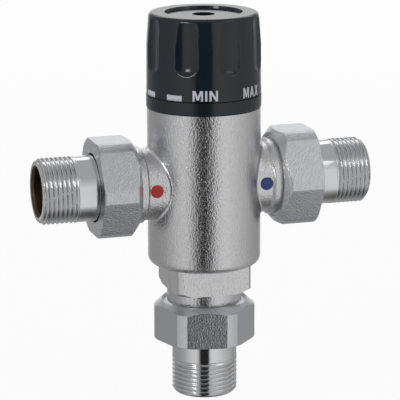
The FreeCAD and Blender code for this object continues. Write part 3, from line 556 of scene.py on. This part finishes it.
@dataclass
class PipeThread:
    """Outer surface of a parallel pipe thread, along +Z from its run-out to its lead-in.

    Args:
        major: crest radius in metres.
        pitch: distance between crests.
        length: length of the threaded part.
        lead_in: chamfer at the far end.
        segments: faces round the axis.
        rows_per_turn: rows for each crest.
    """

    major: float
    pitch: float
    length: float
    lead_in: float
    segments: int = 120
    rows_per_turn: int = 12

    DEPTH_SHARE = 0.6403

    def mesh(self, name: str, finish: Finish) -> bpy.types.Mesh:
        """Build the thread as an open tube.

        Args:
            name: tree name.
            finish: finish of its faces.

        Returns:
            The mesh; its end rings have the major radius and that radius less the lead-in.
        """
        rows = math.ceil(self.length / self.pitch * self.rows_per_turn)
        recipe = Recipe(name, {
            "Crest Radius": self.major, "Depth": self.pitch * self.DEPTH_SHARE, "Pitch": self.pitch,
            "Length": self.length, "Lead In": self.lead_in,
        }, {"Segments": self.segments, "Rows": rows})
        columns = recipe.size("Segments") + 1.0
        lines = recipe.size("Rows") + 1.0
        grid = recipe.node("GeometryNodeMeshGrid", {"Size X": 1.0, "Size Y": 1.0,
                                                    "Vertices X": columns, "Vertices Y": lines})
        place = recipe.node("GeometryNodeInputPosition")
        parts = recipe.node("ShaderNodeSeparateXYZ", {"Vector": place.outputs[0]})
        turn = Term(recipe.tree, parts.outputs["X"]) + 0.5
        height = (Term(recipe.tree, parts.outputs["Y"]) + 0.5) * recipe.size("Length")
        phase = (height / recipe.size("Pitch") - turn) * math.tau
        wave = phase.cos() * 0.5 + 0.5
        groove = wave.math("POWER", 1.25)
        ramp = (height / recipe.size("Pitch")).clamped()
        radius = recipe.size("Crest Radius") - groove * ramp * recipe.size("Depth")
        limit = recipe.size("Crest Radius") - recipe.size("Lead In") + (recipe.size("Length") - height)
        radius = radius.low(limit)
        angle = turn * math.tau
        moved = recipe.node("GeometryNodeSetPosition", {
            "Geometry": grid.outputs["Mesh"],
            "Position": recipe.vector(radius * angle.cos(), radius * angle.sin(), height)})
        joined = recipe.node("GeometryNodeMergeByDistance", {"Geometry": moved.outputs[0], "Distance": 0.000001})
        return recipe.run(joined.outputs[0], finish)


# ---------------------------------------------------------------------------
# Ports and their union kits
# ---------------------------------------------------------------------------
class Port(Enum):
    """The three ports and the way each points."""

    HOT = ("hot", (-1.0, 0.0, 0.0))
    COLD = ("cold", (1.0, 0.0, 0.0))
    OUTLET = ("outlet", (0.0, 0.0, -1.0))

    @property
    def word(self) -> str:
        """Name used in the frame."""
        return self.value[0]

    def placement(self) -> Matrix:
        """Placement of a kit that was modelled along +Z from the spigot's face."""
        low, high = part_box(self.word + "_gasket")
        centre = (Vector(low) + Vector(high)) / 2
        along = Vector(self.value[1])
        thickness = abs((Vector(high) - Vector(low)).dot(along))
        face = centre - along * thickness / 2
        turns = {
            Port.HOT: Matrix.Rotation(math.radians(-90), 4, "Y"),
            Port.COLD: Matrix.Rotation(math.radians(90), 4, "Y"),
            Port.OUTLET: Matrix.Rotation(math.radians(180), 4, "X"),
        }
        return Matrix.Translation(face) @ turns[self]


@dataclass
class UnionKit:
    """Union nut and threaded tail of one port.

    Args:
        crest: crest radius of the tail's thread.
        pitch: pitch of the tail's thread.
        thread_length: length of the tail's thread.
        length: tail's reach from the spigot's face.
        flange: flange radius.
        flange_start: height of the flange's face on the gasket.
        flange_end: height of the shoulder behind the flange.
        relief: how far the plain shank lies inside the crests.
        lead_in: chamfer at the open end.
        bore: bore radius.
        mouth: bore radius at the open end.
        pocket: radius of the backflow stop's bore, zero for a plain bore.
        pocket_end: depth of that bore from the spigot's face.
    """

    port: Port
    crest: float = 13.22 * MM
    pitch: float = 1.814 * MM
    thread_length: float = 14.7 * MM
    length: float = 30.8 * MM
    flange: float = 14.9 * MM
    flange_start: float = 2.0 * MM
    flange_end: float = 5.0 * MM
    relief: float = 0.12 * MM
    lead_in: float = 1.3 * MM
    bore: float = 9.0 * MM
    mouth: float = 10.4 * MM
    pocket: float = 10.2 * MM
    pocket_end: float = 15.8 * MM
    segments: int = 120
    edge: float = 0.22 * MM

    def tail_mesh(self) -> bpy.types.Mesh:
        """Threaded tail as one closed mesh, chromed outside and bare brass in the bore, darkened there as painted
        shade.
        """
        start = self.length - self.thread_length
        soft = self.edge
        skin = [
            (self.flange - soft, self.flange_start),
            (self.flange, self.flange_start + soft),
            (self.flange, self.flange_end - soft),
            (self.flange - soft, self.flange_end),
            (self.crest, self.flange_end),
            (self.crest, start - 4.6 * MM),
            (self.crest - self.relief, start - 4.4 * MM),
            (self.crest - self.relief, start - soft),
            (self.crest, start),
        ]
        rim = [(self.crest - self.lead_in, self.length), (self.mouth, self.length)]
        bore = [(self.mouth, self.length), (self.bore, self.length - (self.mouth - self.bore))]
        if self.port is Port.OUTLET:
            bore.append((self.bore, self.flange_start))
        else:
            bore += [(self.bore, self.pocket_end), (self.pocket, self.pocket_end), (self.pocket, self.flange_start)]
        face = [bore[-1], skin[0]]
        thread = PipeThread(self.crest, self.pitch, self.thread_length, self.lead_in, self.segments)
        turned = thread.mesh(self.port.word + "_tail_thread", Finish.TAIL_CHROME)
        turned.transform(Matrix.Translation((0, 0, start)))
        work = bmesh.new()
        work.from_mesh(turned)
        for item in work.faces:
            item.material_index = 0
        for outline, index in ((skin, 0), (rim, 0), (face, 0), (bore, 1)):
            part = lathe("part", outline, self.segments)
            first = len(work.faces)
            work.from_mesh(part)
            work.faces.ensure_lookup_table()
            for item in work.faces[first:]:
                item.material_index = index
            bpy.data.meshes.remove(part)
        bmesh.ops.remove_doubles(work, verts=work.verts, dist=0.000003)
        bmesh.ops.recalc_face_normals(work, faces=work.faces)
        turned.materials.clear()
        turned.materials.append(Finish.TAIL_CHROME.build())
        # Second slot: the bore's brass, whose dark colour is painted shade.
        turned.materials.append(Finish.SHADED_BORE_BRASS.build())
        work.to_mesh(turned)
        work.free()
        turned.transform(self.port.placement())
        smooth(turned, math.radians(50.0))
        return turned

    def build(self) -> list:
        """Make the tail and the nut and put them on their bodies."""
        word = self.port.word
        tail = new_piece(word + "_threaded_tail", self.tail_mesh())
        weighted = tail.modifiers.new("weighted", "WEIGHTED_NORMAL")
        weighted.keep_sharp = True
        flattened(tail)
        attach(tail, word + "_union")
        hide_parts(word + "_tail")
        nut = eased_copy(word + "_union_nut", word + "_hexagon_nut", self.edge, Finish.NUT_CHROME)
        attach(nut, word + "_nut")
        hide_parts(word + "_union_nut")
        return [tail, nut]


# ---------------------------------------------------------------------------
# Body and dial
# ---------------------------------------------------------------------------
@dataclass
class CastBody:
    """Cast body; its enamel dots are dressed with the cartridge's parts.

    Args:
        edge: width of the eased edges.
    """

    edge: float = 0.3 * MM

    def build(self) -> list:
        """Ease the casting's edges and dress it."""
        body = eased_copy("valve_body", "cast_body", self.edge, Finish.CAST_CHROME)
        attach(body, "root")
        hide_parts("valve_body")
        return [body]


HALF_A = [(0.0, 0.0), (0.34, 1.0), (0.46, 1.0), (0.46, 0.74), (0.35, 0.4), (0.46, 0.4), (0.46, 0.22),
          (0.29, 0.22), (0.22, 0.0)]
LETTERS = {
    "M": [[(0.0, 0.0), (0.0, 1.0), (0.28, 1.0), (0.5, 0.42), (0.72, 1.0), (1.0, 1.0), (1.0, 0.0), (0.8, 0.0),
           (0.8, 0.66), (0.58, 0.08), (0.42, 0.08), (0.2, 0.66), (0.2, 0.0)]],
    "I": [[(0.0, 0.0), (0.0, 1.0), (0.21, 1.0), (0.21, 0.0)]],
    "N": [[(0.0, 0.0), (0.0, 1.0), (0.22, 1.0), (0.62, 0.36), (0.62, 1.0), (0.82, 1.0), (0.82, 0.0), (0.6, 0.0),
           (0.2, 0.64), (0.2, 0.0)]],
    "A": [HALF_A, [(0.92 - x, y) for x, y in reversed(HALF_A)]],
    "X": [[(0.0, 0.0), (0.3, 0.51), (0.03, 1.0), (0.27, 1.0), (0.43, 0.69), (0.59, 1.0), (0.83, 1.0), (0.56, 0.51),
           (0.86, 0.0), (0.62, 0.0), (0.43, 0.33), (0.24, 0.0)]],
}


@dataclass
class Dial:
    """Index ring, fluted knob and the marks printed on the knob's foot.

    Args:
        edge: width of the ring's eased edges.
        lip: width of the knob's eased edges, the flutes' lips among them.
        word_height: height of the letters.
        word_foot: letters' lower edge above the knob's foot.
        word_width: width of a word round the knob.
        print_proud: how far the print stands out.
        word_angles: angle of each word's middle from the front, towards the cold side, in degrees.
        lip_above_foot: where the flutes' eased lips start, above the knob's foot.
        lip_below_top: where they end, below its top.
        first_dash: angle of the first dash's middle.
        step_angle: angle between neighbouring dashes.
        dash_count: dashes between MIN and MAX.
        dash_angle: length of a dash round the knob, in degrees.
        dash_height: height of a dash.
        dash_foot: dash's lower edge above the knob's foot.
        foot_radius: knob's radius at its foot.
        draft: how far the radius has shrunk at waist_height.
        waist_height: height of the knob's waist above its foot.
    """

    edge: float = 0.3 * MM
    lip: float = 0.45 * MM
    word_height: float = 4.1 * MM
    word_foot: float = 0.5 * MM
    word_width: float = 9.9 * MM
    print_proud: float = 0.05 * MM
    word_angles: dict = field(default_factory=lambda: {"MIN": -15.7, "MAX": -322.2})
    lip_above_foot: float = 6.0 * MM
    lip_below_top: float = 3.5 * MM
    first_dash: float = -47.6
    step_angle: float = -34.4
    dash_count: int = 8
    dash_angle: float = 16.8
    dash_height: float = 2.2 * MM
    dash_foot: float = 0.2 * MM
    foot_radius: float = 22.85 * MM
    draft: float = 0.15 * MM
    waist_height: float = 20.0 * MM

    def skin_radius(self, rise: float) -> float:
        """Knob's radius at a height above its foot."""
        return self.foot_radius - self.draft * rise / self.waist_height

    def word_mesh(self, word: str, angle: float, foot: float) -> bpy.types.Mesh:
        """Printed word wrapped on the knob.

        Args:
            word: letters to set.
            angle: angle of the word's middle from the front, in degrees.
            foot: height of the knob's foot.

        Returns:
            The mesh in place.
        """
        work = bmesh.new()
        pen = 0.0
        for letter in word:
            for outline in LETTERS[letter]:
                work.faces.new([work.verts.new((pen + x, y, 1.0)) for x, y in outline])
            pen += max(x for outline in LETTERS[letter] for x, _ in outline) + 0.2
        bmesh.ops.remove_doubles(work, verts=work.verts, dist=0.0001)
        bmesh.ops.triangulate(work, faces=work.faces)
        body = bmesh.ops.extrude_face_region(work, geom=work.faces[:])
        for vert in (item for item in body["geom"] if isinstance(item, bmesh.types.BMVert)):
            vert.co.z = -1.0
        low = Vector([min(v.co[k] for v in work.verts) for k in range(3)])
        high = Vector([max(v.co[k] for v in work.verts) for k in range(3)])
        cuts = 24
        for k in range(1, cuts):
            spot = low.x + (high.x - low.x) * k / cuts
            bmesh.ops.bisect_plane(work, geom=work.verts[:] + work.edges[:] + work.faces[:],
                                   plane_co=(spot, 0, 0), plane_no=(1, 0, 0))
        middle = (low.x + high.x) / 2
        for vert in work.verts:
            across = (vert.co.x - middle) / (high.x - low.x) * self.word_width
            rise = self.word_foot + (vert.co.y - low.y) / (high.y - low.y) * self.word_height
            out = self.print_proud * (1.0 if vert.co.z > 0 else -1.0)
            radius = self.skin_radius(rise) + out
            turn = math.radians(angle) + across / self.foot_radius
            vert.co = (radius * math.sin(turn), -radius * math.cos(turn), foot + rise)
        bmesh.ops.recalc_face_normals(work, faces=work.faces)
        mesh = bpy.data.meshes.new("dial_word_" + word.lower())
        work.to_mesh(mesh)
        work.free()
        mesh.materials.append(Finish.DIAL_PRINT.build())
        smooth(mesh)
        return mesh

    def dash_mesh(self, foot: float) -> bpy.types.Mesh:
        """All printed dashes, repeated round the knob by one tree."""
        recipe = Recipe("dial_dashes", {
            "Radius": self.skin_radius(self.dash_foot + self.dash_height / 2),
            "Length": math.radians(self.dash_angle),
            "Height": self.dash_height, "Thickness": 2 * self.print_proud,
            "First": math.radians(self.first_dash - 90.0 - self.dash_angle / 2),
            "Step": math.radians(self.step_angle), "Level": foot + self.dash_foot + self.dash_height / 2,
        }, {"Count": self.dash_count})
        arc = recipe.node("GeometryNodeCurveArc", {"Resolution": 14, "Radius": recipe.size("Radius"),
                                                   "Start Angle": 0.0, "Sweep Angle": recipe.size("Length")})
        section = recipe.node("GeometryNodeCurvePrimitiveQuadrilateral",
                              {"Width": recipe.size("Thickness"), "Height": recipe.size("Height")})
        dash = recipe.node("GeometryNodeCurveToMesh", {"Curve": arc.outputs[0], "Profile Curve": section.outputs[0],
                                                       "Fill Caps": True})
        spots = recipe.node("GeometryNodeMeshLine", {"Count": recipe.size("Count")})
        recipe.tree.links.new(recipe.vector(0.0, 0.0, recipe.size("Level")), spots.inputs["Start Location"])
        spots.inputs["Offset"].default_value = (0.0, 0.0, 0.0)
        index = Term(recipe.tree, recipe.node("GeometryNodeInputIndex").outputs[0])
        turn = index * recipe.size("Step") + recipe.size("First")
        copies = recipe.node("GeometryNodeInstanceOnPoints", {
            "Points": spots.outputs[0], "Instance": dash.outputs[0],
            "Rotation": recipe.vector(0.0, 0.0, turn)})
        mesh = recipe.run(copies.outputs[0], Finish.DIAL_PRINT)
        outward(mesh)
        return mesh

    def build(self) -> list:
        """Make the ring, the knob and its print, and put them on their bodies."""
        ring = eased_copy("index_ring", "dial_index_ring", self.edge, Finish.RING_BLACK)
        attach(ring, "root")
        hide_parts("index_ring")
        foot, top = (corner[2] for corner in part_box("temperature_knob"))
        lips = (foot + self.lip_above_foot, top - self.lip_below_top)
        knob = eased_copy("temperature_knob", "fluted_knob", self.lip, Finish.KNOB_BLACK, lips)
        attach(knob, "knob")
        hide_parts("temperature_knob")
        pieces = [ring, knob]
        for word, angle in self.word_angles.items():
            pieces.append(new_piece("dial_word_" + word.lower(), self.word_mesh(word, angle, foot)))
        pieces.append(new_piece("dial_dashes", self.dash_mesh(foot)))
        for piece in pieces[2:]:
            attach(piece, "knob")
        return pieces


@dataclass(frozen=True)
class CoilSpring:
    """Spring that a joint presses; its node only gets a mesh of its own.

    Args:
        node: the spring's node.
        joint: the joint that presses it; not used.
        axis: along the spring; not used.
        seat: point at its fixed end; not used.
        length: at rest; not used.
        stroke: the joint's range; not used.
    """

    node: str
    joint: str
    axis: tuple
    seat: tuple
    length: float
    stroke: float

    def fit(self) -> None:
        """Give the spring's node a mesh of its own."""
        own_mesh(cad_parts[self.node])


@dataclass
class Cartridge:
    """Inner pieces and small parts that keep their CAD form and get their finish.

    Args:
        finishes: finish of each node left as it is.
        springs: springs that a joint presses.
    """

    finishes: dict = field(default_factory=lambda: {
        "bonnet": Finish.TURNED_BRASS, "adjusting_spindle": Finish.TURNED_BRASS,
        "drive_nut": Finish.TURNED_BRASS, "spring_cap": Finish.TURNED_BRASS,
        "knob_screw": Finish.SCREW_STEEL, "element_piston": Finish.SCREW_STEEL,
        "wax_element": Finish.COPPER_CUP, "shuttle": Finish.GUIDE_PLASTIC, "flow_guide": Finish.GUIDE_PLASTIC,
        "bonnet_o_ring": Finish.SEAL_RUBBER, "spindle_o_ring": Finish.SEAL_RUBBER,
        "shuttle_o_ring": Finish.SEAL_RUBBER, "spindle_circlip": Finish.SPRING_STEEL,
        "cap_circlip": Finish.SPRING_STEEL, "overload_spring": Finish.SPRING_STEEL,
        "return_spring": Finish.SPRING_STEEL, "hot_mark": Finish.HOT_ENAMEL, "cold_mark": Finish.COLD_ENAMEL,
        "hot_gasket": Finish.GASKET_FIBRE, "cold_gasket": Finish.GASKET_FIBRE,
        "outlet_gasket": Finish.GASKET_FIBRE,
        # The check housings, deep in the tails' bores, take the dark guide plastic rather than white, as painted
        # shade there.
        "hot_check_housing": Finish.GUIDE_PLASTIC, "cold_check_housing": Finish.GUIDE_PLASTIC,
        "hot_check_poppet": Finish.WHITE_PLASTIC, "cold_check_poppet": Finish.WHITE_PLASTIC,
        "hot_check_spring": Finish.SPRING_STEEL, "cold_check_spring": Finish.SPRING_STEEL,
        "hot_strainer": Finish.SCREW_STEEL, "cold_strainer": Finish.SCREW_STEEL,
    })
    springs: tuple = (
        CoilSpring("return_spring", "shuttle_travel", (0, 0, 1), (0, 0, 59.2 * MM), 24.6 * MM, 1.6 * MM),
        CoilSpring("hot_check_spring", "hot_check_lift", (1, 0, 0), (-41.4 * MM, 0, 87.6 * MM), 7.9 * MM, 3.0 * MM),
        CoilSpring("cold_check_spring", "cold_check_lift", (1, 0, 0), (39.6 * MM, 0, 87.6 * MM), 7.9 * MM, 3.0 * MM),
    )

    def build(self) -> list:
        """Assign each node's finish to its slots."""
        dressed = []
        for node, finish in self.finishes.items():
            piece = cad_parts[node]
            if not piece.material_slots:
                piece.data.materials.append(finish.build())
            for slot in piece.material_slots:
                slot.material = finish.build()
            dressed.append(piece)
        for spring in self.springs:
            spring.fit()
        return dressed


# ---------------------------------------------------------------------------
# Studio
# ---------------------------------------------------------------------------
@dataclass
class Studio:
    """Camera, lamps, surroundings and floor.

    Args:
        azimuth: camera's angle round the valve, degrees, 0 in front, positive to the cold side.
        elevation: camera's angle above the horizon.
        distance: from the pivot.
        pivot_height: height of the point that the camera turns about.
        lens: focal length in millimetres.
        aim_right: how far the aim lies to the right of the pivot.
        aim_up: how far the aim lies above the pivot.
        roll: camera's roll in radians.
        backdrop_way: direction of the white backdrop that metal mirrors, as the camera looks at it.
        floor_glow: share of plain white in the floor near the valve, as the camera sees it.
        floor_drop: how far the floor lies below the outlet's end at rest.
        floor_half: half the floor's width.
        floor_fade: how fast the floor turns white with distance, and the offset taken off.
        zenith: brightness of the tent overhead.
        nadir: brightness of the tent straight below.
        zenith_fade: factor and offset that turn a direction's height into the overhead share.
        nadir_fade: the same for the share straight below.
        backdrop_fade: factor and offset that bound the backdrop which metal mirrors.
    """

    azimuth: float = -17.2
    elevation: float = 13.8
    distance: float = 0.9
    pivot_height: float = 0.075
    lens: float = 201.6
    aim_right: float = -1.6 * MM
    aim_up: float = 4.14 * MM
    roll: float = -0.0028
    floor_glow: float = 0.94
    backdrop_way: tuple = (0.29, 0.957)
    floor_drop: float = 10.0 * MM
    floor_half: float = 6.0
    floor_fade: tuple = (0.8, 0.3)
    zenith: float = 0.46
    nadir: float = 0.08
    zenith_fade: tuple = (2.2, -0.55)
    nadir_fade: tuple = (-5.0, -3.9)
    backdrop_fade: tuple = (12.0, -10.6)

    def camera(self) -> None:
        """Place the camera."""
        turn, rise = math.radians(self.azimuth), math.radians(self.elevation)
        back = Vector((math.sin(turn) * math.cos(rise), -math.cos(turn) * math.cos(rise), math.sin(rise)))
        right = Vector((math.cos(turn), math.sin(turn), 0.0))
        up = back.cross(right)
        pivot = Vector((0.0, 0.0, self.pivot_height))
        spot = pivot + back * self.distance
        target = pivot + right * self.aim_right + up * self.aim_up
        data = bpy.data.cameras.new("camera")
        data.lens = self.lens
        data.sensor_width = 36.0
        data.clip_start, data.clip_end = 0.01, 50.0
        camera = bpy.data.objects.new("camera", data)
        bpy.context.scene.collection.objects.link(camera)
        look = (target - spot).to_track_quat("-Z", "Y").to_matrix().to_4x4()
        camera.matrix_world = Matrix.Translation(spot) @ look @ Matrix.Rotation(self.roll, 4, "Z")
        bpy.context.scene.camera = camera

    def lamp(self, name: str, azimuth: float, elevation: float, reach: float, size: tuple, level: float) -> None:
        """Rectangular softbox that faces the valve.

        Args:
            name: lamp's name.
            azimuth: angle round the valve, as the camera's.
            elevation: angle above the horizon.
            reach: distance from the valve.
            size: width and height.
            level: brightness of its face, 1 for white.
        """
        turn, rise = math.radians(azimuth), math.radians(elevation)
        away = Vector((math.sin(turn) * math.cos(rise), -math.cos(turn) * math.cos(rise), math.sin(rise)))
        data = bpy.data.lights.new(name, "AREA")
        data.shape = "RECTANGLE"
        data.size, data.size_y = size
        data.energy = level * math.pi * size[0] * size[1]
        lamp = bpy.data.objects.new(name, data)
        bpy.context.scene.collection.objects.link(lamp)
        spot = Vector((0.0, 0.0, 0.09)) + away * reach
        lamp.matrix_world = Matrix.Translation(spot) @ away.to_track_quat("Z", "Y").to_matrix().to_4x4()

    def world(self) -> None:
        """White to the camera and, round the backdrop, to metal; elsewhere a softly graded tent."""
        world = bpy.data.worlds.new("studio")
        bpy.context.scene.world = world
        world.use_nodes = True
        tree = world.node_tree
        tree.nodes.clear()
        place = tree.nodes.new("ShaderNodeTexCoord")
        parts = tree.nodes.new("ShaderNodeSeparateXYZ")
        tree.links.new(place.outputs["Generated"], parts.inputs[0])
        side, depth, height = (Term(tree, parts.outputs[k]) for k in range(3))
        angle = side.math("ARCTAN2", depth * -1.0) / math.pi * 0.5 + 0.5
        ramp = tree.nodes.new("ShaderNodeValToRGB")
        tree.links.new(angle.socket, ramp.inputs[0])
        stops = self.tent()
        while len(ramp.color_ramp.elements) < len(stops):
            ramp.color_ramp.elements.new(0.5)
        for element, (degrees, level) in zip(ramp.color_ramp.elements, stops):
            element.position = (degrees + 180.0) / 360.0
            element.color = (level, level, level, 1.0)
        level = Term(tree, ramp.outputs[0])
        above = height.math("MULTIPLY_ADD", *self.zenith_fade).clamped()
        below = height.math("MULTIPLY_ADD", *self.nadir_fade).clamped()
        level = level + level.math("MULTIPLY_ADD", -1.0, self.zenith) * above
        level = level + level.math("MULTIPLY_ADD", -1.0, self.nadir) * below
        tent = tree.nodes.new("ShaderNodeBackground")
        tree.links.new(level.socket, tent.inputs[0])
        tent.inputs[1].default_value = 1.0
        white = tree.nodes.new("ShaderNodeBackground")
        white.inputs[0].default_value = (1.0, 1.0, 1.0, 1.0)
        white.inputs[1].default_value = 1.0
        path = tree.nodes.new("ShaderNodeLightPath")
        mix = tree.nodes.new("ShaderNodeMixShader")
        behind = side * self.backdrop_way[0] + depth * self.backdrop_way[1]
        cone = behind.math("MULTIPLY_ADD", *self.backdrop_fade).clamped()
        mirrored = Term(tree, path.outputs["Is Glossy Ray"]) * cone
        seen_through = Term(tree, path.outputs["Is Transmission Ray"])
        shown = Term(tree, path.outputs["Is Camera Ray"]).high(seen_through).high(mirrored)
        tree.links.new(shown.socket, mix.inputs[0])
        tree.links.new(tent.outputs[0], mix.inputs[1])
        tree.links.new(white.outputs[0], mix.inputs[2])
        output = tree.nodes.new("ShaderNodeOutputWorld")
        tree.links.new(mix.outputs[0], output.inputs[0])

    def tent(self) -> list:
        """Brightness of the surroundings round the valve: angle from the front and level."""
        left = [(-180.0, 0.36), (-120.0, 0.34), (-90.0, 0.46), (-68.0, 0.66), (-46.0, 0.74), (-37.0, 0.5)]
        dark_strip = [(-31.0, 0.02), (-2.0, 0.02)]
        right = [(4.0, 0.75), (22.0, 0.8), (35.0, 0.74), (49.0, 0.66), (64.0, 0.58), (81.0, 0.5),
                 (110.0, 0.36), (180.0, 0.36)]
        return left + dark_strip + right

    def floor(self) -> None:
        """Pale floor that keeps the valve's shadow, below the reach of the outlet's undone tail."""
        mesh = bpy.data.meshes.new("floor")
        half, drop = self.floor_half, -self.floor_drop
        mesh.from_pydata([(-half, -half, drop), (half, -half, drop), (half, half, drop), (-half, half, drop)],
                         [], [(0, 1, 2, 3)])
        floor = new_piece("floor", mesh)
        shader = Shader("floor_white")
        shader.set(Base_Color=(0.8, 0.8, 0.8, 1.0), Roughness=0.9)
        glow = shader.add("ShaderNodeEmission")
        glow.inputs[0].default_value = (1.0, 1.0, 1.0, 1.0)
        path = shader.add("ShaderNodeLightPath")
        camera = Term(shader.tree, path.outputs["Is Camera Ray"])
        reach = shader.add("ShaderNodeVectorMath", operation="LENGTH")
        shader.tree.links.new(shader.place, reach.inputs[0])
        steepness, start = self.floor_fade
        far = (Term(shader.tree, reach.outputs["Value"]) * steepness - start).clamped()
        share = far * (1.0 - self.floor_glow) + self.floor_glow
        glow.inputs[1].default_value = 1.0
        mix = shader.add("ShaderNodeMixShader")
        shader.tree.links.new((camera * share).socket, mix.inputs[0])
        shader.tree.links.new(shader.surface.outputs[0], mix.inputs[1])
        shader.tree.links.new(glow.outputs[0], mix.inputs[2])
        shader.tree.links.new(mix.outputs[0], shader.output.inputs["Surface"])
        mesh.materials.append(shader.material)
        floor.visible_glossy = False

    def build(self) -> None:
        """Set up the whole studio."""
        bpy.context.scene.view_settings.view_transform = "Standard"
        self.camera()
        self.world()
        self.floor()
        self.lamp("key", -57.0, 21.0, 0.9, (0.22, 0.26), 6.0)
        self.lamp("fill", 44.0, 34.0, 1.1, (0.5, 0.4), 0.7)
        self.lamp("backdrop", 160.0, 40.0, 1.2, (1.4, 0.4), 1.1)


def main() -> None:
    """Build every sub-assembly, then the studio."""
    logging.basicConfig(level=logging.INFO, format="%(name)s: %(message)s")
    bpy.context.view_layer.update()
    parts = [CastBody(), Dial(), Cartridge(), *(UnionKit(port) for port in Port)]
    for part in parts:
        for piece in part.build():
            LOG.info("%s: %s, %d faces", type(part).__name__, piece.name, len(piece.data.polygons))
    Studio().build()


if __name__ == "__main__":
    main()
